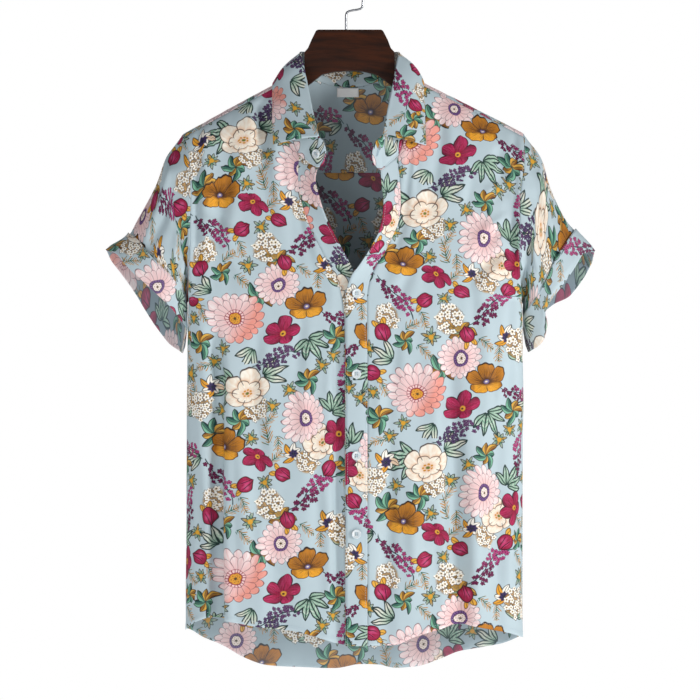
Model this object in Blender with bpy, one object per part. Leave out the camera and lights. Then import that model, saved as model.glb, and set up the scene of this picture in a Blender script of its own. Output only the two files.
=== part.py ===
"""A printed short-sleeved shirt on a wooden hanger.

Sizes are in millimetres from the mount, which is the inside top of the hook. x runs to the wearer's left,
y to the back and z up. Each mesh is written in metres. A table's columns are named above it.
"""

import bmesh
import bpy
import numpy as np
from mathutils import Matrix
from mathutils.bvhtree import BVHTree

for old in list(bpy.data.objects):
    bpy.data.objects.remove(old)

METRES = 0.001
RIGHT, LEFT = -1, 1
FRONT, BACK = -1, 1

# Walls and gaps
CLOTH = 1.2
PLACKET_WALL = 1.6
CUFF_WALL = 1.4
LABEL_WALL = 0.8
SEAM_GAP = 0.5
LAYER_GAP = 0.4
ARMHOLE_GAP = 0.6
SHORTER = 0.85

# Body: the line along the top of the shoulders and the rings below it
NECK_X = 4.0
RIDGE_TOP = -96.0
RIDGE_ROUND = 25.0
SHOULDER_SLOPE = {RIGHT: 0.5507, LEFT: 0.5178}
NECK_POINT_X = {RIGHT: -57.3, LEFT: 64.8}
FRONT_LEVEL = 2.2
FRONT_SEAM_DROP = FRONT_LEVEL**2
YOKE_SEAM_Z = -243.5
UNDERARM_Z = -405.0
ARMHOLE_WIDEST_Z = -320.0
RING_STEPS = 97
FIT_ROUNDS = 16
ARMHOLE_SAMPLES = 200
SHOULDER_END_Z = -197.0
YOKE_LAST_LEVEL = -1.6
YOKE_END_ROUNDS = 4
YOKE_END_PULL = 4

# height, wearer's right side, wearer's left side, middle
SIDES = (
    (-850.0, -200.0, 220.6, 11.0),
    (-606.0, -198.8, 220.5, 11.0),
    (-467.0, -197.5, 220.0, 11.0),
    (-405.0, -196.0, 218.0, 10.0),
    (-340.0, -193.5, 214.5, 8.5),
    (-281.0, -192.5, 215.5, 7.0),
    (-225.0, -195.5, 222.0, 5.5),
    (SHOULDER_END_Z, -203.5, 221.3, 5.0),
    (-90.0, -203.5, 221.3, 4.0),
)
# square root of the drop below the shoulder line, half the depth there
DEPTHS = (
    (0.0, 0.0),
    (2.2, 11.5),
    (4.0, 20.0),
    (6.0, 29.0),
    (9.0, 38.0),
    (12.0, 46.0),
    (16.0, 56.0),
    (20.0, 62.0),
    (23.0, 65.0),
    (28.0, 67.0),
)
# height, how square a ring is
SQUARENESS = (
    (-850.0, 3.0),
    (-620.0, 3.1),
    (-520.0, 3.8),
    (-450.0, 5.2),
    (-405.0, 7.0),
    (-300.0, 7.0),
)
# half of the body, face, x and height of the top, x and height of the bottom, width, depth inwards
FOLDS = (
    (RIGHT, FRONT, -163.0, -415.0, -159.0, -1000.0, 11.0, 13.0),
    (RIGHT, FRONT, -8.0, -380.0, -7.0, -1000.0, 8.0, 4.5),
    (RIGHT, FRONT, -104.0, -156.0, -106.0, -225.0, 9.0, 4.0),
    (RIGHT, FRONT, -150.0, -200.0, -172.0, -330.0, 9.0, 3.0),
    (RIGHT, FRONT, -86.0, -560.0, -72.0, -1000.0, 20.0, 3.5),
    (LEFT, FRONT, 128.0, -400.0, 142.0, -1000.0, 14.0, 6.5),
    (LEFT, FRONT, 52.0, -560.0, 46.0, -1000.0, 9.0, 3.5),
    (LEFT, FRONT, 190.0, -210.0, 196.0, -330.0, 8.0, 5.0),
    (LEFT, FRONT, 186.0, -430.0, 190.0, -1000.0, 9.0, 4.0),
    (RIGHT, BACK, -120.0, -300.0, -128.0, -1000.0, 17.0, 7.0),
    (RIGHT, BACK, -60.0, -420.0, -58.0, -1000.0, 20.0, -5.0),
    (LEFT, BACK, 70.0, -330.0, 64.0, -1000.0, 18.0, 6.0),
    (LEFT, BACK, 150.0, -300.0, 158.0, -1000.0, 16.0, 8.0),
)
FOLD_ENDS = 0.14
FOLD_SIDE_FADE = 10

# wearer's right front, from the hem up: seam x and height, free edge x and height, how far the edge curls out
FRONT_EDGE_RIGHT = (
    (-1.1, -830.2, 25.9, -830.2, 0.0),
    (-1.2, -652.1, 25.9, -652.1, 0.0),
    (-1.2, -504.5, 25.9, -504.5, 0.0),
    (-1.8, -430.5, 24.7, -436.0, 0.0),
    (-4.9, -400.9, 19.8, -403.4, 0.0),
    (-11.0, -381.2, 11.2, -373.9, 2.0),
    (-22.1, -359.0, 2.5, -356.7, 6.0),
    (-34.5, -335.5, -14.7, -324.8, 10.0),
    (-46.8, -309.5, -25.8, -301.4, 12.5),
    (-55.5, -282.2, -33.1, -279.2, 14.0),
    (-59.3, -254.9, -38.1, -258.2, 14.5),
    (-58.0, -225.2, -35.6, -243.4, 14.0),
)
# wearer's left front, same columns
FRONT_EDGE_LEFT = (
    (26.5, -831.4, -0.5, -831.4, 0.0),
    (26.6, -652.1, -0.5, -652.1, 0.0),
    (26.6, -504.5, -0.5, -504.5, 0.0),
    (26.0, -430.5, -0.5, -430.5, 0.0),
    (26.0, -405.9, 0.1, -400.0, 3.0),
    (28.4, -386.1, 6.2, -377.7, 8.0),
    (35.8, -366.4, 17.3, -362.9, 11.0),
    (48.2, -346.6, 32.1, -339.6, 13.0),
    (58.1, -326.9, 41.9, -319.9, 14.0),
    (65.5, -307.0, 45.6, -301.4, 14.0),
    (68.0, -285.9, 46.8, -282.9, 14.5),
    (66.8, -259.9, 44.4, -264.3, 14.5),
    (64.3, -227.7, 43.2, -245.9, 14.0),
)
CURL_POWER = 1.6
# neckline of each front above its placket: x, height
NECKLINE_RIGHT = (
    (-58.0, -225.2),
    (-65.6, -205.0),
    (-68.1, -182.4),
    (-67.0, -157.1),
    (-62.2, -133.9),
    (-57.3, -122.5),
)
NECKLINE_LEFT = (
    (64.3, -227.7),
    (70.6, -207.5),
    (73.2, -182.4),
    (72.0, -157.1),
    (67.2, -133.9),
    (64.8, -122.5),
)
# neckline of the yoke, from the middle of the back to the front seam: share of the way to the neck point,
# level, which is the square root of the drop below the shoulder line, negative behind it
NECKLINE_YOKE = (
    (0.0, -6.4),
    (0.25, -6.1),
    (0.49, -5.35),
    (0.7, -4.25),
    (0.86, -3.0),
    (0.96, -1.6),
    (1.0, 0.0),
    (1.0, FRONT_LEVEL),
)
# x, height of the front's hem and of the back's hem
HEM_FRONT = (
    (-200.0, -816.2),
    (-191.3, -807.9),
    (-183.1, -802.9),
    (-167.7, -798.1),
    (-136.6, -803.6),
    (-102.0, -809.7),
    (-68.8, -812.7),
    (-41.1, -819.1),
    (-1.1, -830.2),
    (26.5, -831.4),
    (60.3, -830.4),
    (81.8, -821.6),
    (114.4, -811.7),
    (142.2, -805.5),
    (158.8, -808.3),
    (181.3, -813.2),
    (203.1, -818.1),
    (220.6, -825.0),
)
HEM_BACK = (
    (-200.0, -816.2),
    (-192.5, -820.9),
    (-183.0, -828.4),
    (-156.0, -841.4),
    (-130.8, -855.9),
    (-99.2, -867.6),
    (-57.3, -870.7),
    (-14.1, -871.8),
    (19.0, -866.5),
    (40.0, -867.0),
    (62.2, -870.6),
    (90.1, -869.0),
    (118.1, -860.0),
    (146.7, -848.1),
    (175.0, -843.0),
    (194.8, -838.8),
    (209.1, -832.9),
    (220.6, -825.0),
)

# How many faces each piece has along its length and across
BAND_ROWS, NECK_ROWS = 17, 5
LOW_ROWS, ARMHOLE_ROWS = 13, 9
FRONT_COLUMNS = 12
HALF_BACK_COLUMNS = 15
NECK_COLUMNS = 7
BACK_LOW_ROWS, BACK_ARMHOLE_ROWS = 13, 8
YOKE_ROWS = 9
BAND_COLUMNS = 3
STAND_ROWS, FALL_ROWS = 3, 5
CUFF_ROWS = 3
CUFF_RINGS = (4.0, 5.0)
# where a sleeve's rows lie between its rings
SLEEVE_ROWS = (0.0, 0.35, 1.0, 1.6, 2.3, 3.0, 3.6, 4.0, 4.333, 4.667, 5.0)

# Collar, for each half from the middle of the back to its front end: share, x, y, height
TAB_SHARE = 0.932
ROLL_RIGHT = (
    (0.0, 4.4, 38.0, -97.8),
    (0.08, -16.4, 36.0, -96.7),
    (0.166, -37.8, 30.0, -94.6),
    (0.23, -50.0, 20.5, -94.4),
    (0.29, -55.2, 9.0, -95.2),
    (0.34, -56.0, -2.0, -98.5),
    (0.395, -54.0, -11.0, -108.3),
    (0.5, -48.8, -27.0, -134.8),
    (0.605, -44.5, -39.0, -158.0),
    (0.7, -40.1, -49.0, -177.3),
    (0.79, -36.5, -57.0, -192.7),
    (0.85, -34.8, -61.0, -199.2),
    (0.932, -32.5, -65.0, -205.6),
    (0.966, -27.0, -66.0, -211.5),
    (1.0, -24.1, -66.0, -223.5),
)
ROLL_LEFT = (
    (0.0, 4.4, 38.0, -97.8),
    (0.08, 25.2, 36.0, -96.7),
    (0.166, 46.5, 30.0, -94.6),
    (0.23, 58.6, 20.5, -94.4),
    (0.29, 64.2, 9.0, -95.2),
    (0.34, 65.0, -2.0, -98.5),
    (0.395, 63.2, -11.0, -108.3),
    (0.5, 59.6, -27.0, -132.3),
    (0.605, 55.1, -39.0, -155.6),
    (0.7, 50.7, -49.0, -176.1),
    (0.79, 47.5, -57.0, -191.5),
    (0.85, 46.0, -61.0, -197.9),
    (0.932, 43.7, -65.0, -204.3),
    (0.966, 36.5, -66.0, -210.5),
    (1.0, 32.0, -66.0, -224.1),
)
LEAF_RIGHT = (
    (0.0, 4.4, 41.0, -151.8),
    (0.08, -26.6, 40.0, -151.2),
    (0.166, -54.3, 36.0, -147.8),
    (0.23, -73.0, 27.0, -140.6),
    (0.3, -86.0, 12.0, -133.5),
    (0.35, -91.0, -1.0, -132.8),
    (0.395, -92.2, -11.0, -136.7),
    (0.5, -92.0, -22.0, -153.0),
    (0.605, -91.8, -29.5, -167.2),
    (0.7, -91.7, -35.0, -180.0),
    (0.79, -91.2, -39.0, -192.6),
    (0.85, -90.8, -41.5, -202.7),
    (0.932, -90.2, -43.0, -213.9),
)
LEAF_LEFT = (
    (0.0, 4.4, 41.0, -151.8),
    (0.08, 35.3, 40.0, -151.2),
    (0.166, 61.8, 36.0, -147.8),
    (0.23, 79.2, 27.0, -139.3),
    (0.3, 90.5, 12.0, -130.8),
    (0.35, 96.0, -1.0, -129.4),
    (0.395, 97.5, -11.0, -133.6),
    (0.5, 97.6, -22.0, -153.0),
    (0.605, 98.1, -29.5, -167.2),
    (0.7, 98.3, -35.0, -180.0),
    (0.79, 98.7, -39.0, -192.6),
    (0.85, 99.0, -41.5, -202.7),
    (0.932, 99.6, -43.0, -215.2),
)
TAB_POINTS = 2
# lower edge of the stand's rounded end: x, y, height
TAB_RIGHT = ((-27.6, -64.0, -238.5), (-25.1, -66.0, -231.5))
TAB_LEFT = ((35.5, -64.0, -240.5), (32.3, -66.0, -233.0))
FALL_BULGE = 4.0

# Sleeve rings after the armhole: outer x and height, inner x and height, front depth, back depth,
# how far back the inner end lies, share of the cuff's curve
SLEEVE_RIGHT = (
    (-223.8, -225.0, -199.0, -412.0, 40.0, 40.0, 1.0, 0.25),
    (-237.5, -261.2, -200.0, -419.0, 44.0, 44.0, 4.0, 0.5),
    (-262.5, -308.8, -201.0, -430.0, 46.0, 46.0, 8.0, 0.8),
    (-270.0, -322.5, -201.8, -441.0, 46.0, 46.0, 10.0, 1.0),
    (-300.0, -342.5, -205.0, -471.3, 46.0, 48.0, 12.0, 1.0),
)
SLEEVE_LEFT = (
    (242.5, -225.0, 221.5, -412.0, 40.0, 40.0, 1.0, 0.25),
    (256.2, -267.5, 222.5, -419.0, 44.0, 44.0, 4.0, 0.5),
    (276.2, -307.5, 223.5, -430.0, 46.0, 46.0, 8.0, 0.8),
    (285.0, -317.5, 224.5, -440.0, 46.0, 46.0, 10.0, 1.0),
    (311.2, -343.8, 228.8, -470.0, 46.0, 48.0, 12.0, 1.0),
)
# share from the outer to the inner end, rise of the cuff's top in front and drop at the back,
# the same at its hem
CUFF_CURVE_RIGHT = (
    (0.0, 0.0, 0.0, 0.0, 0.0),
    (0.1, 6.5, 2.0, 9.0, 4.0),
    (0.25, 10.0, 3.0, 11.0, 4.0),
    (0.4, 15.0, 4.0, 16.0, 5.0),
    (0.55, 20.0, 6.0, 20.5, 7.5),
    (0.7, 22.0, 7.0, 24.0, 8.8),
    (0.85, 16.0, 6.0, 24.0, 8.0),
    (1.0, 0.0, 0.0, 0.0, 0.0),
)
CUFF_CURVE_LEFT = (
    (0.0, 0.0, 0.0, 0.0, 0.0),
    (0.1, 3.0, 3.0, 12.0, 6.5),
    (0.25, 6.0, 5.0, 11.5, 8.7),
    (0.4, 7.0, 5.0, 12.4, 7.0),
    (0.55, 6.0, 2.0, 14.0, -5.0),
    (0.65, 6.5, 0.0, 12.0, -9.0),
    (0.75, 7.5, -2.0, 0.0, -8.0),
    (0.88, 9.0, -2.0, -6.0, -5.0),
    (1.0, 0.0, 0.0, 0.0, 0.0),
)

# Label, on the yoke below the back neck seam
LABEL_X = (-11.5, 16.0)
LABEL_Z = (-137.6, -149.0)
LABEL_COLUMNS, LABEL_ROWS = 4, 2

# Buttons
BUTTON_RADIUS = 5.8
BUTTON_RIM = 0.9
BUTTON_THICK = 2.4
BUTTON_DISH = 0.5
BUTTON_DISH_SLOPE = 0.9
BUTTON_FOOT_IN, BUTTON_FOOT_UP = 0.7, 0.8
BUTTON_EDGE_IN, BUTTON_EDGE_DOWN = 0.4, 0.5
BUTTON_FACES = 20
BUTTON_HOLES = 4
BUTTON_HOLE_RADIUS = 0.85
BUTTON_HOLE_OUT = 1.7
BUTTON_HOLE_FACES = 8
SEAT_RAYS = 12
SEAT_RAY_Y = -1000.0
PLACKET_BUTTON_X = 13.0
PLACKET_BUTTON_Z = (-397.5, -497.0, -597.5, -693.5)
STAND_BUTTON = (-35.5, -226.0)

# Hanger
WOOD_HALF = 6.5
WOOD_BEVEL = 4.8
WOOD_BEVEL_STEPS = 3
WOOD_BEVEL_ANGLE = 60
WOOD_TOP_Z = -67.5
ARM_DROP = 3.0
ARM_END_X = {RIGHT: -189.0, LEFT: 207.0}
ARM_STEPS = 12
ARM_START = 3.5
ARM_TIP = 6.0
# x, height of the wood's middle, from its lower right corner round its top to its lower left
WOOD_TOP = (
    (-56.0, -122.5),
    (-52.0, -118.0),
    (-51.8, -95.5),
    (-47.5, -90.5),
    (-43.0, -80.0),
    (-37.5, -69.0),
    (-35.0, WOOD_TOP_Z),
    (43.8, WOOD_TOP_Z),
    (46.3, -69.0),
    (52.0, -80.0),
    (56.0, -90.5),
    (60.6, -95.5),
    (60.8, -118.0),
    (64.5, -121.5),
)
# share of an arm from its end to the middle, how deep the arm is there
ARM_DEPTH = ((0.0, 14.0), (0.15, 20.0), (0.5, 25.0), (1.0, 24.0))
WOOD_ARCH = ((-30.0, -123.5), (-12.0, -119.8), (5.0, -118.8), (22.0, -119.8), (40.0, -124.5))

# Hook
WIRE_RADIUS = 1.6
HOOK_RADIUS = 21.5
HOOK_BORE = 2.0
HOOK_BORE_DEPTH = 16.0
HOOK_BORE_CUTTER = 40.0
HOOK_TURN = 200.0
HOOK_ARC_STEPS = 26
HOOK_FACES = 12
# x, height of the wire's middle from the wood to the round part
HOOK_STEM = ((0.0, -83.0), (0.0, -66.0), (0.0, -55.0), (2.5, -49.5), (9.0, -45.5), (16.0, -41.5), (20.3, -34.0))


def columns(rows):
    return np.array(rows, float).T


def smooth(at, given, where):
    """Values on a cubic through a table's rows that never goes past them."""
    at = np.asarray(at, float)
    given = np.asarray(given, float)
    single = given.ndim == 1
    if single:
        given = given[:, None]
    where = np.clip(np.asarray(where, float), at[0], at[-1])
    step = np.diff(at)
    rise = np.diff(given, axis=0) / step[:, None]
    same = rise[:-1] * rise[1:] > 0
    slope = np.empty_like(given)
    slope[0] = rise[0]
    slope[-1] = rise[-1]
    total = np.where(same, rise[:-1] + rise[1:], 1)
    slope[1:-1] = np.where(same, 2 * rise[:-1] * rise[1:] / total, 0)
    row = np.clip(np.searchsorted(at, where, side="right") - 1, 0, len(at) - 2)
    span = step[row][..., None]
    t = ((where - at[row]) / step[row])[..., None]
    found = given[row] * (1 + 2 * t) * (1 - t) ** 2 + slope[row] * span * t * (1 - t) ** 2
    found = found + given[row + 1] * t**2 * (3 - 2 * t) + slope[row + 1] * span * t**2 * (t - 1)
    return found[..., 0] if single else found


def ridge(x):
    """Height of the line along the top of the shoulders."""
    slope = np.where(x < NECK_X, SHOULDER_SLOPE[RIGHT], SHOULDER_SLOPE[LEFT])
    return RIDGE_TOP - slope * (np.hypot(x - NECK_X, RIDGE_ROUND) - RIDGE_ROUND)


def half_depth(x, z):
    at, deep = columns(DEPTHS)
    return smooth(at, deep, np.sqrt(np.maximum(ridge(x) - z, 0.0)))


def side_x(z, side):
    at, right, left, _ = columns(SIDES)
    return smooth(at, right if side == RIGHT else left, z)


def middle_x(z):
    table = columns(SIDES)
    return smooth(table[0], table[3], z)


def armhole_share(z):
    """How much of the body's depth the armhole takes: all of it high up, none at the underarm."""
    low = np.clip((ARMHOLE_WIDEST_Z - z) / (ARMHOLE_WIDEST_Z - UNDERARM_Z), 0.0, 1.0)
    return np.sqrt(1 - low**2)


def fold_amount(x, z, side, face):
    """How far the folds push the cloth inwards."""
    total = np.zeros(np.broadcast(x, z).shape)
    for half, on, x_top, z_top, x_low, z_low, width, deep in FOLDS:
        if (half, on) != (side, face):
            continue
        share = np.clip((z_top - z) / (z_top - z_low), 0.0, 1.0)
        centre = x_top + (x_low - x_top) * share
        ends = np.clip(share / FOLD_ENDS, 0, 1) * np.clip((1 - share) / FOLD_ENDS, 0, 1)
        ends = ends**2 * (3 - 2 * ends)
        total = total + deep * ends * np.exp(-(((x - centre) / width) ** 2))
    return total


def half_ring(z, side, face):
    """The body at each height, from its middle to its side: x, y and the length along it."""
    z = np.asarray(z, float).reshape(-1, 1)
    at, power = columns(SQUARENESS)
    power = smooth(at, power, z)
    share = np.linspace(0.0, 1.0, RING_STEPS)
    near, far = share ** (power / 2), (1 - share) ** (power / 2)
    turn = near / (near + far) * np.pi / 2
    across = np.sin(turn) ** (2 / power)
    along = np.clip(np.cos(turn), 0, 1) ** (2 / power)
    middle = middle_x(z)
    x = middle + (side_x(z, side) - middle) * across
    keep = armhole_share(z)
    y = half_depth(x, z) * (keep + (1 - keep) * along)
    run_x, run_y = np.gradient(x, axis=1), np.gradient(y, axis=1)
    size = np.maximum(np.hypot(run_x, run_y), 1e-9)
    inwards = fold_amount(x, z, side, face) * (1 - across**FOLD_SIDE_FADE)
    x = x + side * run_y / size * inwards
    y = y - side * run_x / size * inwards
    length = np.cumsum(np.hypot(np.diff(x, axis=1), np.diff(y, axis=1)), axis=1)
    length = np.concatenate([np.zeros_like(z), length], axis=1)
    return x, face * y, length


def on_ring(z, length_of, side, face):
    """Points at these heights. length_of gives each one's place along its ring from the ring's whole length."""
    shape = z.shape
    x, y, length = half_ring(z.ravel(), side, face)
    want = length_of(length[:, -1].reshape(shape)).ravel()
    found = np.empty((len(want), 3))
    for row in range(len(want)):
        found[row, 0] = np.interp(want[row], length[row], x[row])
        found[row, 1] = np.interp(want[row], length[row], y[row])
    found[:, 2] = z.ravel()
    return found.reshape(shape + (3,))


def length_at(x_wanted, z, side, face):
    """Place along the ring at which it reaches x."""
    x, _, length = half_ring(z, side, face)
    rows = enumerate(x_wanted)
    return np.array([np.interp(side * want, side * x[row], length[row]) for row, want in rows])


def body_panel(side, face, inner, outer_z, count, hem, top_of):
    """Rows of points on the outer face, from the hem up, each from the inner edge to the side."""
    share = np.linspace(0.0, 1.0, count + 1)[None, :]
    up = np.linspace(0.0, 1.0, len(inner))[:, None]
    plain = inner[:, 1:] + (outer_z[:, None] - inner[:, 1:]) * share
    start = length_at(inner[:, 0], inner[:, 1], side, face)[:, None]
    z = plain.copy()
    for _ in range(FIT_ROUNDS):
        points = on_ring(z, lambda whole: start + (whole - start) * share, side, face)
        low = smooth(*columns(hem), points[:1, :, 0]) - plain[:1]
        high = top_of(points[-1:, :, 0]) - plain[-1:]
        z = (z + plain + low * (1 - up) ** 3 + high * up**3) / 2
    return on_ring(z, lambda whole: start + (whole - start) * share, side, face)


def along_line(points, count):
    """Places from 0 to 1 that cut a line of points into equal lengths, by its own numbering."""
    points = np.asarray(points, float)
    length = np.concatenate([[0.0], np.cumsum(np.linalg.norm(np.diff(points, axis=0), axis=1))])
    return np.interp(np.linspace(0.0, length[-1], count + 1), length, np.arange(len(points)))


def armhole_heights(side, face, top, count):
    """Heights from the underarm up to top, evenly spaced round the armhole."""
    z = np.linspace(UNDERARM_Z, top, ARMHOLE_SAMPLES)
    x = side_x(z, side)
    line = np.stack([x, half_depth(x, z) * armhole_share(z), z], axis=1)
    return np.interp(along_line(line, count), np.arange(len(z)), z)


def front_inner(edge_rows, neckline):
    """Places down a front's inner edge: rows of its band, then of its neckline."""
    edge = columns(edge_rows)
    at = along_line(edge[:2].T, BAND_ROWS)
    band = smooth(np.arange(edge.shape[1]), edge.T, at)
    neck = np.array(neckline, float)
    neck = smooth(np.arange(len(neck)), neck, along_line(neck, NECK_ROWS))
    return band, np.concatenate([band[:, :2], neck[1:]])


def front_panel(side, edge_rows, neckline):
    band, inner = front_inner(edge_rows, neckline)
    top = ridge(side_x(SHOULDER_END_Z, side)) - FRONT_SEAM_DROP
    hem_z = (HEM_FRONT[0] if side == RIGHT else HEM_FRONT[-1])[1]
    low = np.linspace(hem_z, UNDERARM_Z, LOW_ROWS + 1)
    outer_z = np.concatenate([low, armhole_heights(side, FRONT, top, ARMHOLE_ROWS)[1:]])

    def seam_z(x):
        return ridge(x) - FRONT_SEAM_DROP

    return band, body_panel(side, FRONT, inner, outer_z, FRONT_COLUMNS, HEM_FRONT, seam_z)


def half_back(side):
    hem_mid = smooth(*columns(HEM_BACK), middle_x(SIDES[0][0]))
    side_hem = (HEM_BACK[0] if side == RIGHT else HEM_BACK[-1])[1]
    low = np.linspace(side_hem, UNDERARM_Z, BACK_LOW_ROWS + 1)
    outer_z = np.concatenate([low, armhole_heights(side, BACK, YOKE_SEAM_Z, BACK_ARMHOLE_ROWS)[1:]])
    inner_z = np.linspace(hem_mid, YOKE_SEAM_Z, len(outer_z))
    inner = np.stack([middle_x(inner_z), inner_z], axis=1)
    return body_panel(side, BACK, inner, outer_z, HALF_BACK_COLUMNS, HEM_BACK, lambda x: 0 * x + YOKE_SEAM_Z)


def both_halves(right, left):
    """One piece from two halves that meet in the middle."""
    middle = (right[:, :1] + left[:, :1]) / 2
    return np.concatenate([right[:, :0:-1], middle, left[:, 1:]], axis=1)


def half_yoke(side, seam_row):
    """Rows from the back seam over the shoulder to the front seam, or up to the back neckline."""
    count = len(seam_row) - 1
    neck_share, neck_level = columns(NECKLINE_YOKE)
    neck_x, end_x = NECK_POINT_X[side], side_x(SHOULDER_END_Z, side)
    outside = np.arange(1, count - NECK_COLUMNS + 1) / (count - NECK_COLUMNS)
    top_x = np.concatenate([NECK_X + (neck_x - NECK_X) * neck_share, neck_x + (end_x - neck_x) * outside])
    top = np.concatenate([neck_level, np.full(len(outside), FRONT_LEVEL)])
    low = -np.sqrt(ridge(seam_row[:, 0]) - seam_row[:, 2])
    level = low + (top - low) * np.linspace(0.0, 1.0, YOKE_ROWS + 1)[:, None]
    over = np.concatenate([np.linspace(low[-1], YOKE_LAST_LEVEL, YOKE_ROWS - 1), [0.0, FRONT_LEVEL]])
    level[:, NECK_COLUMNS + 1 :] = low[None, NECK_COLUMNS + 1 :] / low[-1] * np.minimum(over, 0)[:, None]
    level[:, NECK_COLUMNS + 1 :] += np.maximum(over, 0)[:, None]
    level[:, NECK_COLUMNS] = level[:, NECK_COLUMNS + 1]
    level[0, NECK_COLUMNS] = low[NECK_COLUMNS]
    up = (level - low) / (top - low)
    x = seam_row[:, 0] + (top_x - seam_row[:, 0]) * up
    end = x[:, -1:].copy()
    for _ in range(YOKE_END_ROUNDS):
        end = side_x(ridge(end) - level[:, -1:] ** 2, side)
    x = x + (end - x[:, -1:]) * (np.arange(count + 1) / count) ** YOKE_END_PULL
    z = ridge(x) - level**2
    return np.stack([x, -np.sign(level) * half_depth(x, z), z], axis=2)


def placket(band, seam_points, out):
    """The band between a front's seam and its free edge, on the body's front, its edge curling forwards."""
    share = np.linspace(0.0, 1.0, BAND_COLUMNS + 1)[None, :]
    seam = seam_points[:, None, :]
    x = seam[..., 0] + (band[:, 2:3] - seam[..., 0]) * share
    z = seam[..., 2] + (band[:, 3:4] - seam[..., 2]) * share
    own = seam[..., 1] + half_depth(seam[..., 0], seam[..., 2])
    y = -half_depth(x, z) + own * (1 - share) ** 2 - band[:, 4:5] * share**CURL_POWER - out
    return np.stack([x, y, z], axis=2)


def normals(face, closed=False, before=None, beyond=None):
    """Unit normals of a grid. before and beyond are the rows on either side of it."""
    if closed:
        wide = np.concatenate([face[:, -1:], face, face[:, :1]], axis=1)
        over = np.gradient(wide, axis=1)[:, 1:-1]
    else:
        over = np.gradient(face, axis=1)
    up = np.gradient(face, axis=0)
    if before is not None:
        up[0] = face[1] - before
    if beyond is not None:
        up[-1] = beyond - face[-2]
    found = np.cross(over, up)
    return found / np.maximum(np.linalg.norm(found, axis=2, keepdims=True), 1e-9)


def pulled_in(face, low=0.0, high=0.0, first=0.0, last=0.0):
    """The grid with its edges drawn in, so that a gap is left at each seam."""
    out = face.copy()

    def draw(edge, inner, by):
        way = inner - edge
        return edge + way / np.maximum(np.linalg.norm(way, axis=-1, keepdims=True), 1e-9) * by

    out[0] = draw(face[0], face[1], low)
    out[-1] = draw(face[-1], face[-2], high)
    out[:, 0] = draw(out[:, 0], out[:, 1], first)
    out[:, -1] = draw(out[:, -1], out[:, -2], last)
    return out


def finish(name, colour, roughness, metallic=0.0):
    material = bpy.data.materials.new(name)
    material.use_nodes = True
    shader = material.node_tree.nodes["Principled BSDF"]
    shader.inputs["Base Color"].default_value = (*colour, 1.0)
    shader.inputs["Roughness"].default_value = roughness
    shader.inputs["Metallic"].default_value = metallic
    return material


def new_object(name, mesh, material):
    mesh.materials.append(material)
    made = bpy.data.objects.new(name, mesh)
    bpy.context.scene.collection.objects.link(made)
    return made


def two_triangles(number, points):
    """Each cell of a grid cut along its shorter diagonal."""
    a, b, c, d = (part.ravel() for part in (number[:-1, :-1], number[:-1, 1:], number[1:, 1:], number[1:, :-1]))
    rising = np.linalg.norm(points[c] - points[a], axis=1)
    falling = np.linalg.norm(points[d] - points[b], axis=1)
    other = (falling < SHORTER * rising)[:, None]
    first = np.where(other, np.stack([a, b, d], axis=1), np.stack([a, b, c], axis=1))
    second = np.where(other, np.stack([b, c, d], axis=1), np.stack([a, c, d], axis=1))
    return np.concatenate([first, second])


def cloth_solid(name, face, wall, material, closed=False, outwards=False, before=None, beyond=None):
    """A wall of cloth on a grid of points, which is its outer face, or its inner face if outwards."""
    rows, across = face.shape[:2]
    shift = normals(face, closed, before, beyond) * wall
    outer = face + shift if outwards else face
    inner = face if outwards else face - shift
    number = np.arange(rows * across).reshape(rows, across)
    if closed:
        number = np.concatenate([number, number[:, :1]], axis=1)
    under = number + rows * across
    points = np.concatenate([outer, inner]).reshape(-1, 3)
    skin = two_triangles(number, points)
    triangles = [skin, (skin + rows * across)[:, ::-1]]
    rims = [(number[0, ::-1], under[0, ::-1]), (number[-1], under[-1])]
    if not closed:
        rims += [(number[:, 0], under[:, 0]), (number[::-1, -1], under[::-1, -1])]
    for top, low in rims:
        triangles.append(np.stack([low[:-1], top[:-1], top[1:]], axis=1))
        triangles.append(np.stack([low[:-1], top[1:], low[1:]], axis=1))
    corners = np.concatenate(triangles)
    mesh = bpy.data.meshes.new(name)
    mesh.from_pydata((points * METRES).tolist(), [], corners.tolist())
    mesh.polygons.foreach_set("use_smooth", [True] * len(corners))
    return new_object(name, mesh, material)


def turned(face):
    """The same grid with its normals turned round."""
    return face[:, ::-1]


def armhole_ring(side, front, back, yoke_side):
    """Points round an armhole: down the front, up the back and over the yoke, and each one's turn."""
    down = front[LOW_ROWS:, -1][::-1]
    up = back[BACK_LOW_ROWS + 1 :, -1 if side == LEFT else 0]
    over = yoke_side[1:-1]
    ring = np.concatenate([down, up, over])
    ring[:, 0] += side * ARMHOLE_GAP
    length = np.concatenate([[0.0], np.cumsum(np.linalg.norm(np.diff(ring, axis=0), axis=1))])
    top = len(ring) - 1
    whole = length[top] + np.linalg.norm(ring[0] - ring[top])
    under = length[len(down) - 1]
    fall = length[top]
    turn = np.where(
        length <= under,
        np.pi * (length + whole - fall) / (under + whole - fall),
        np.pi + np.pi * (length - under) / (fall - under),
    )
    return ring, turn


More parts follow.
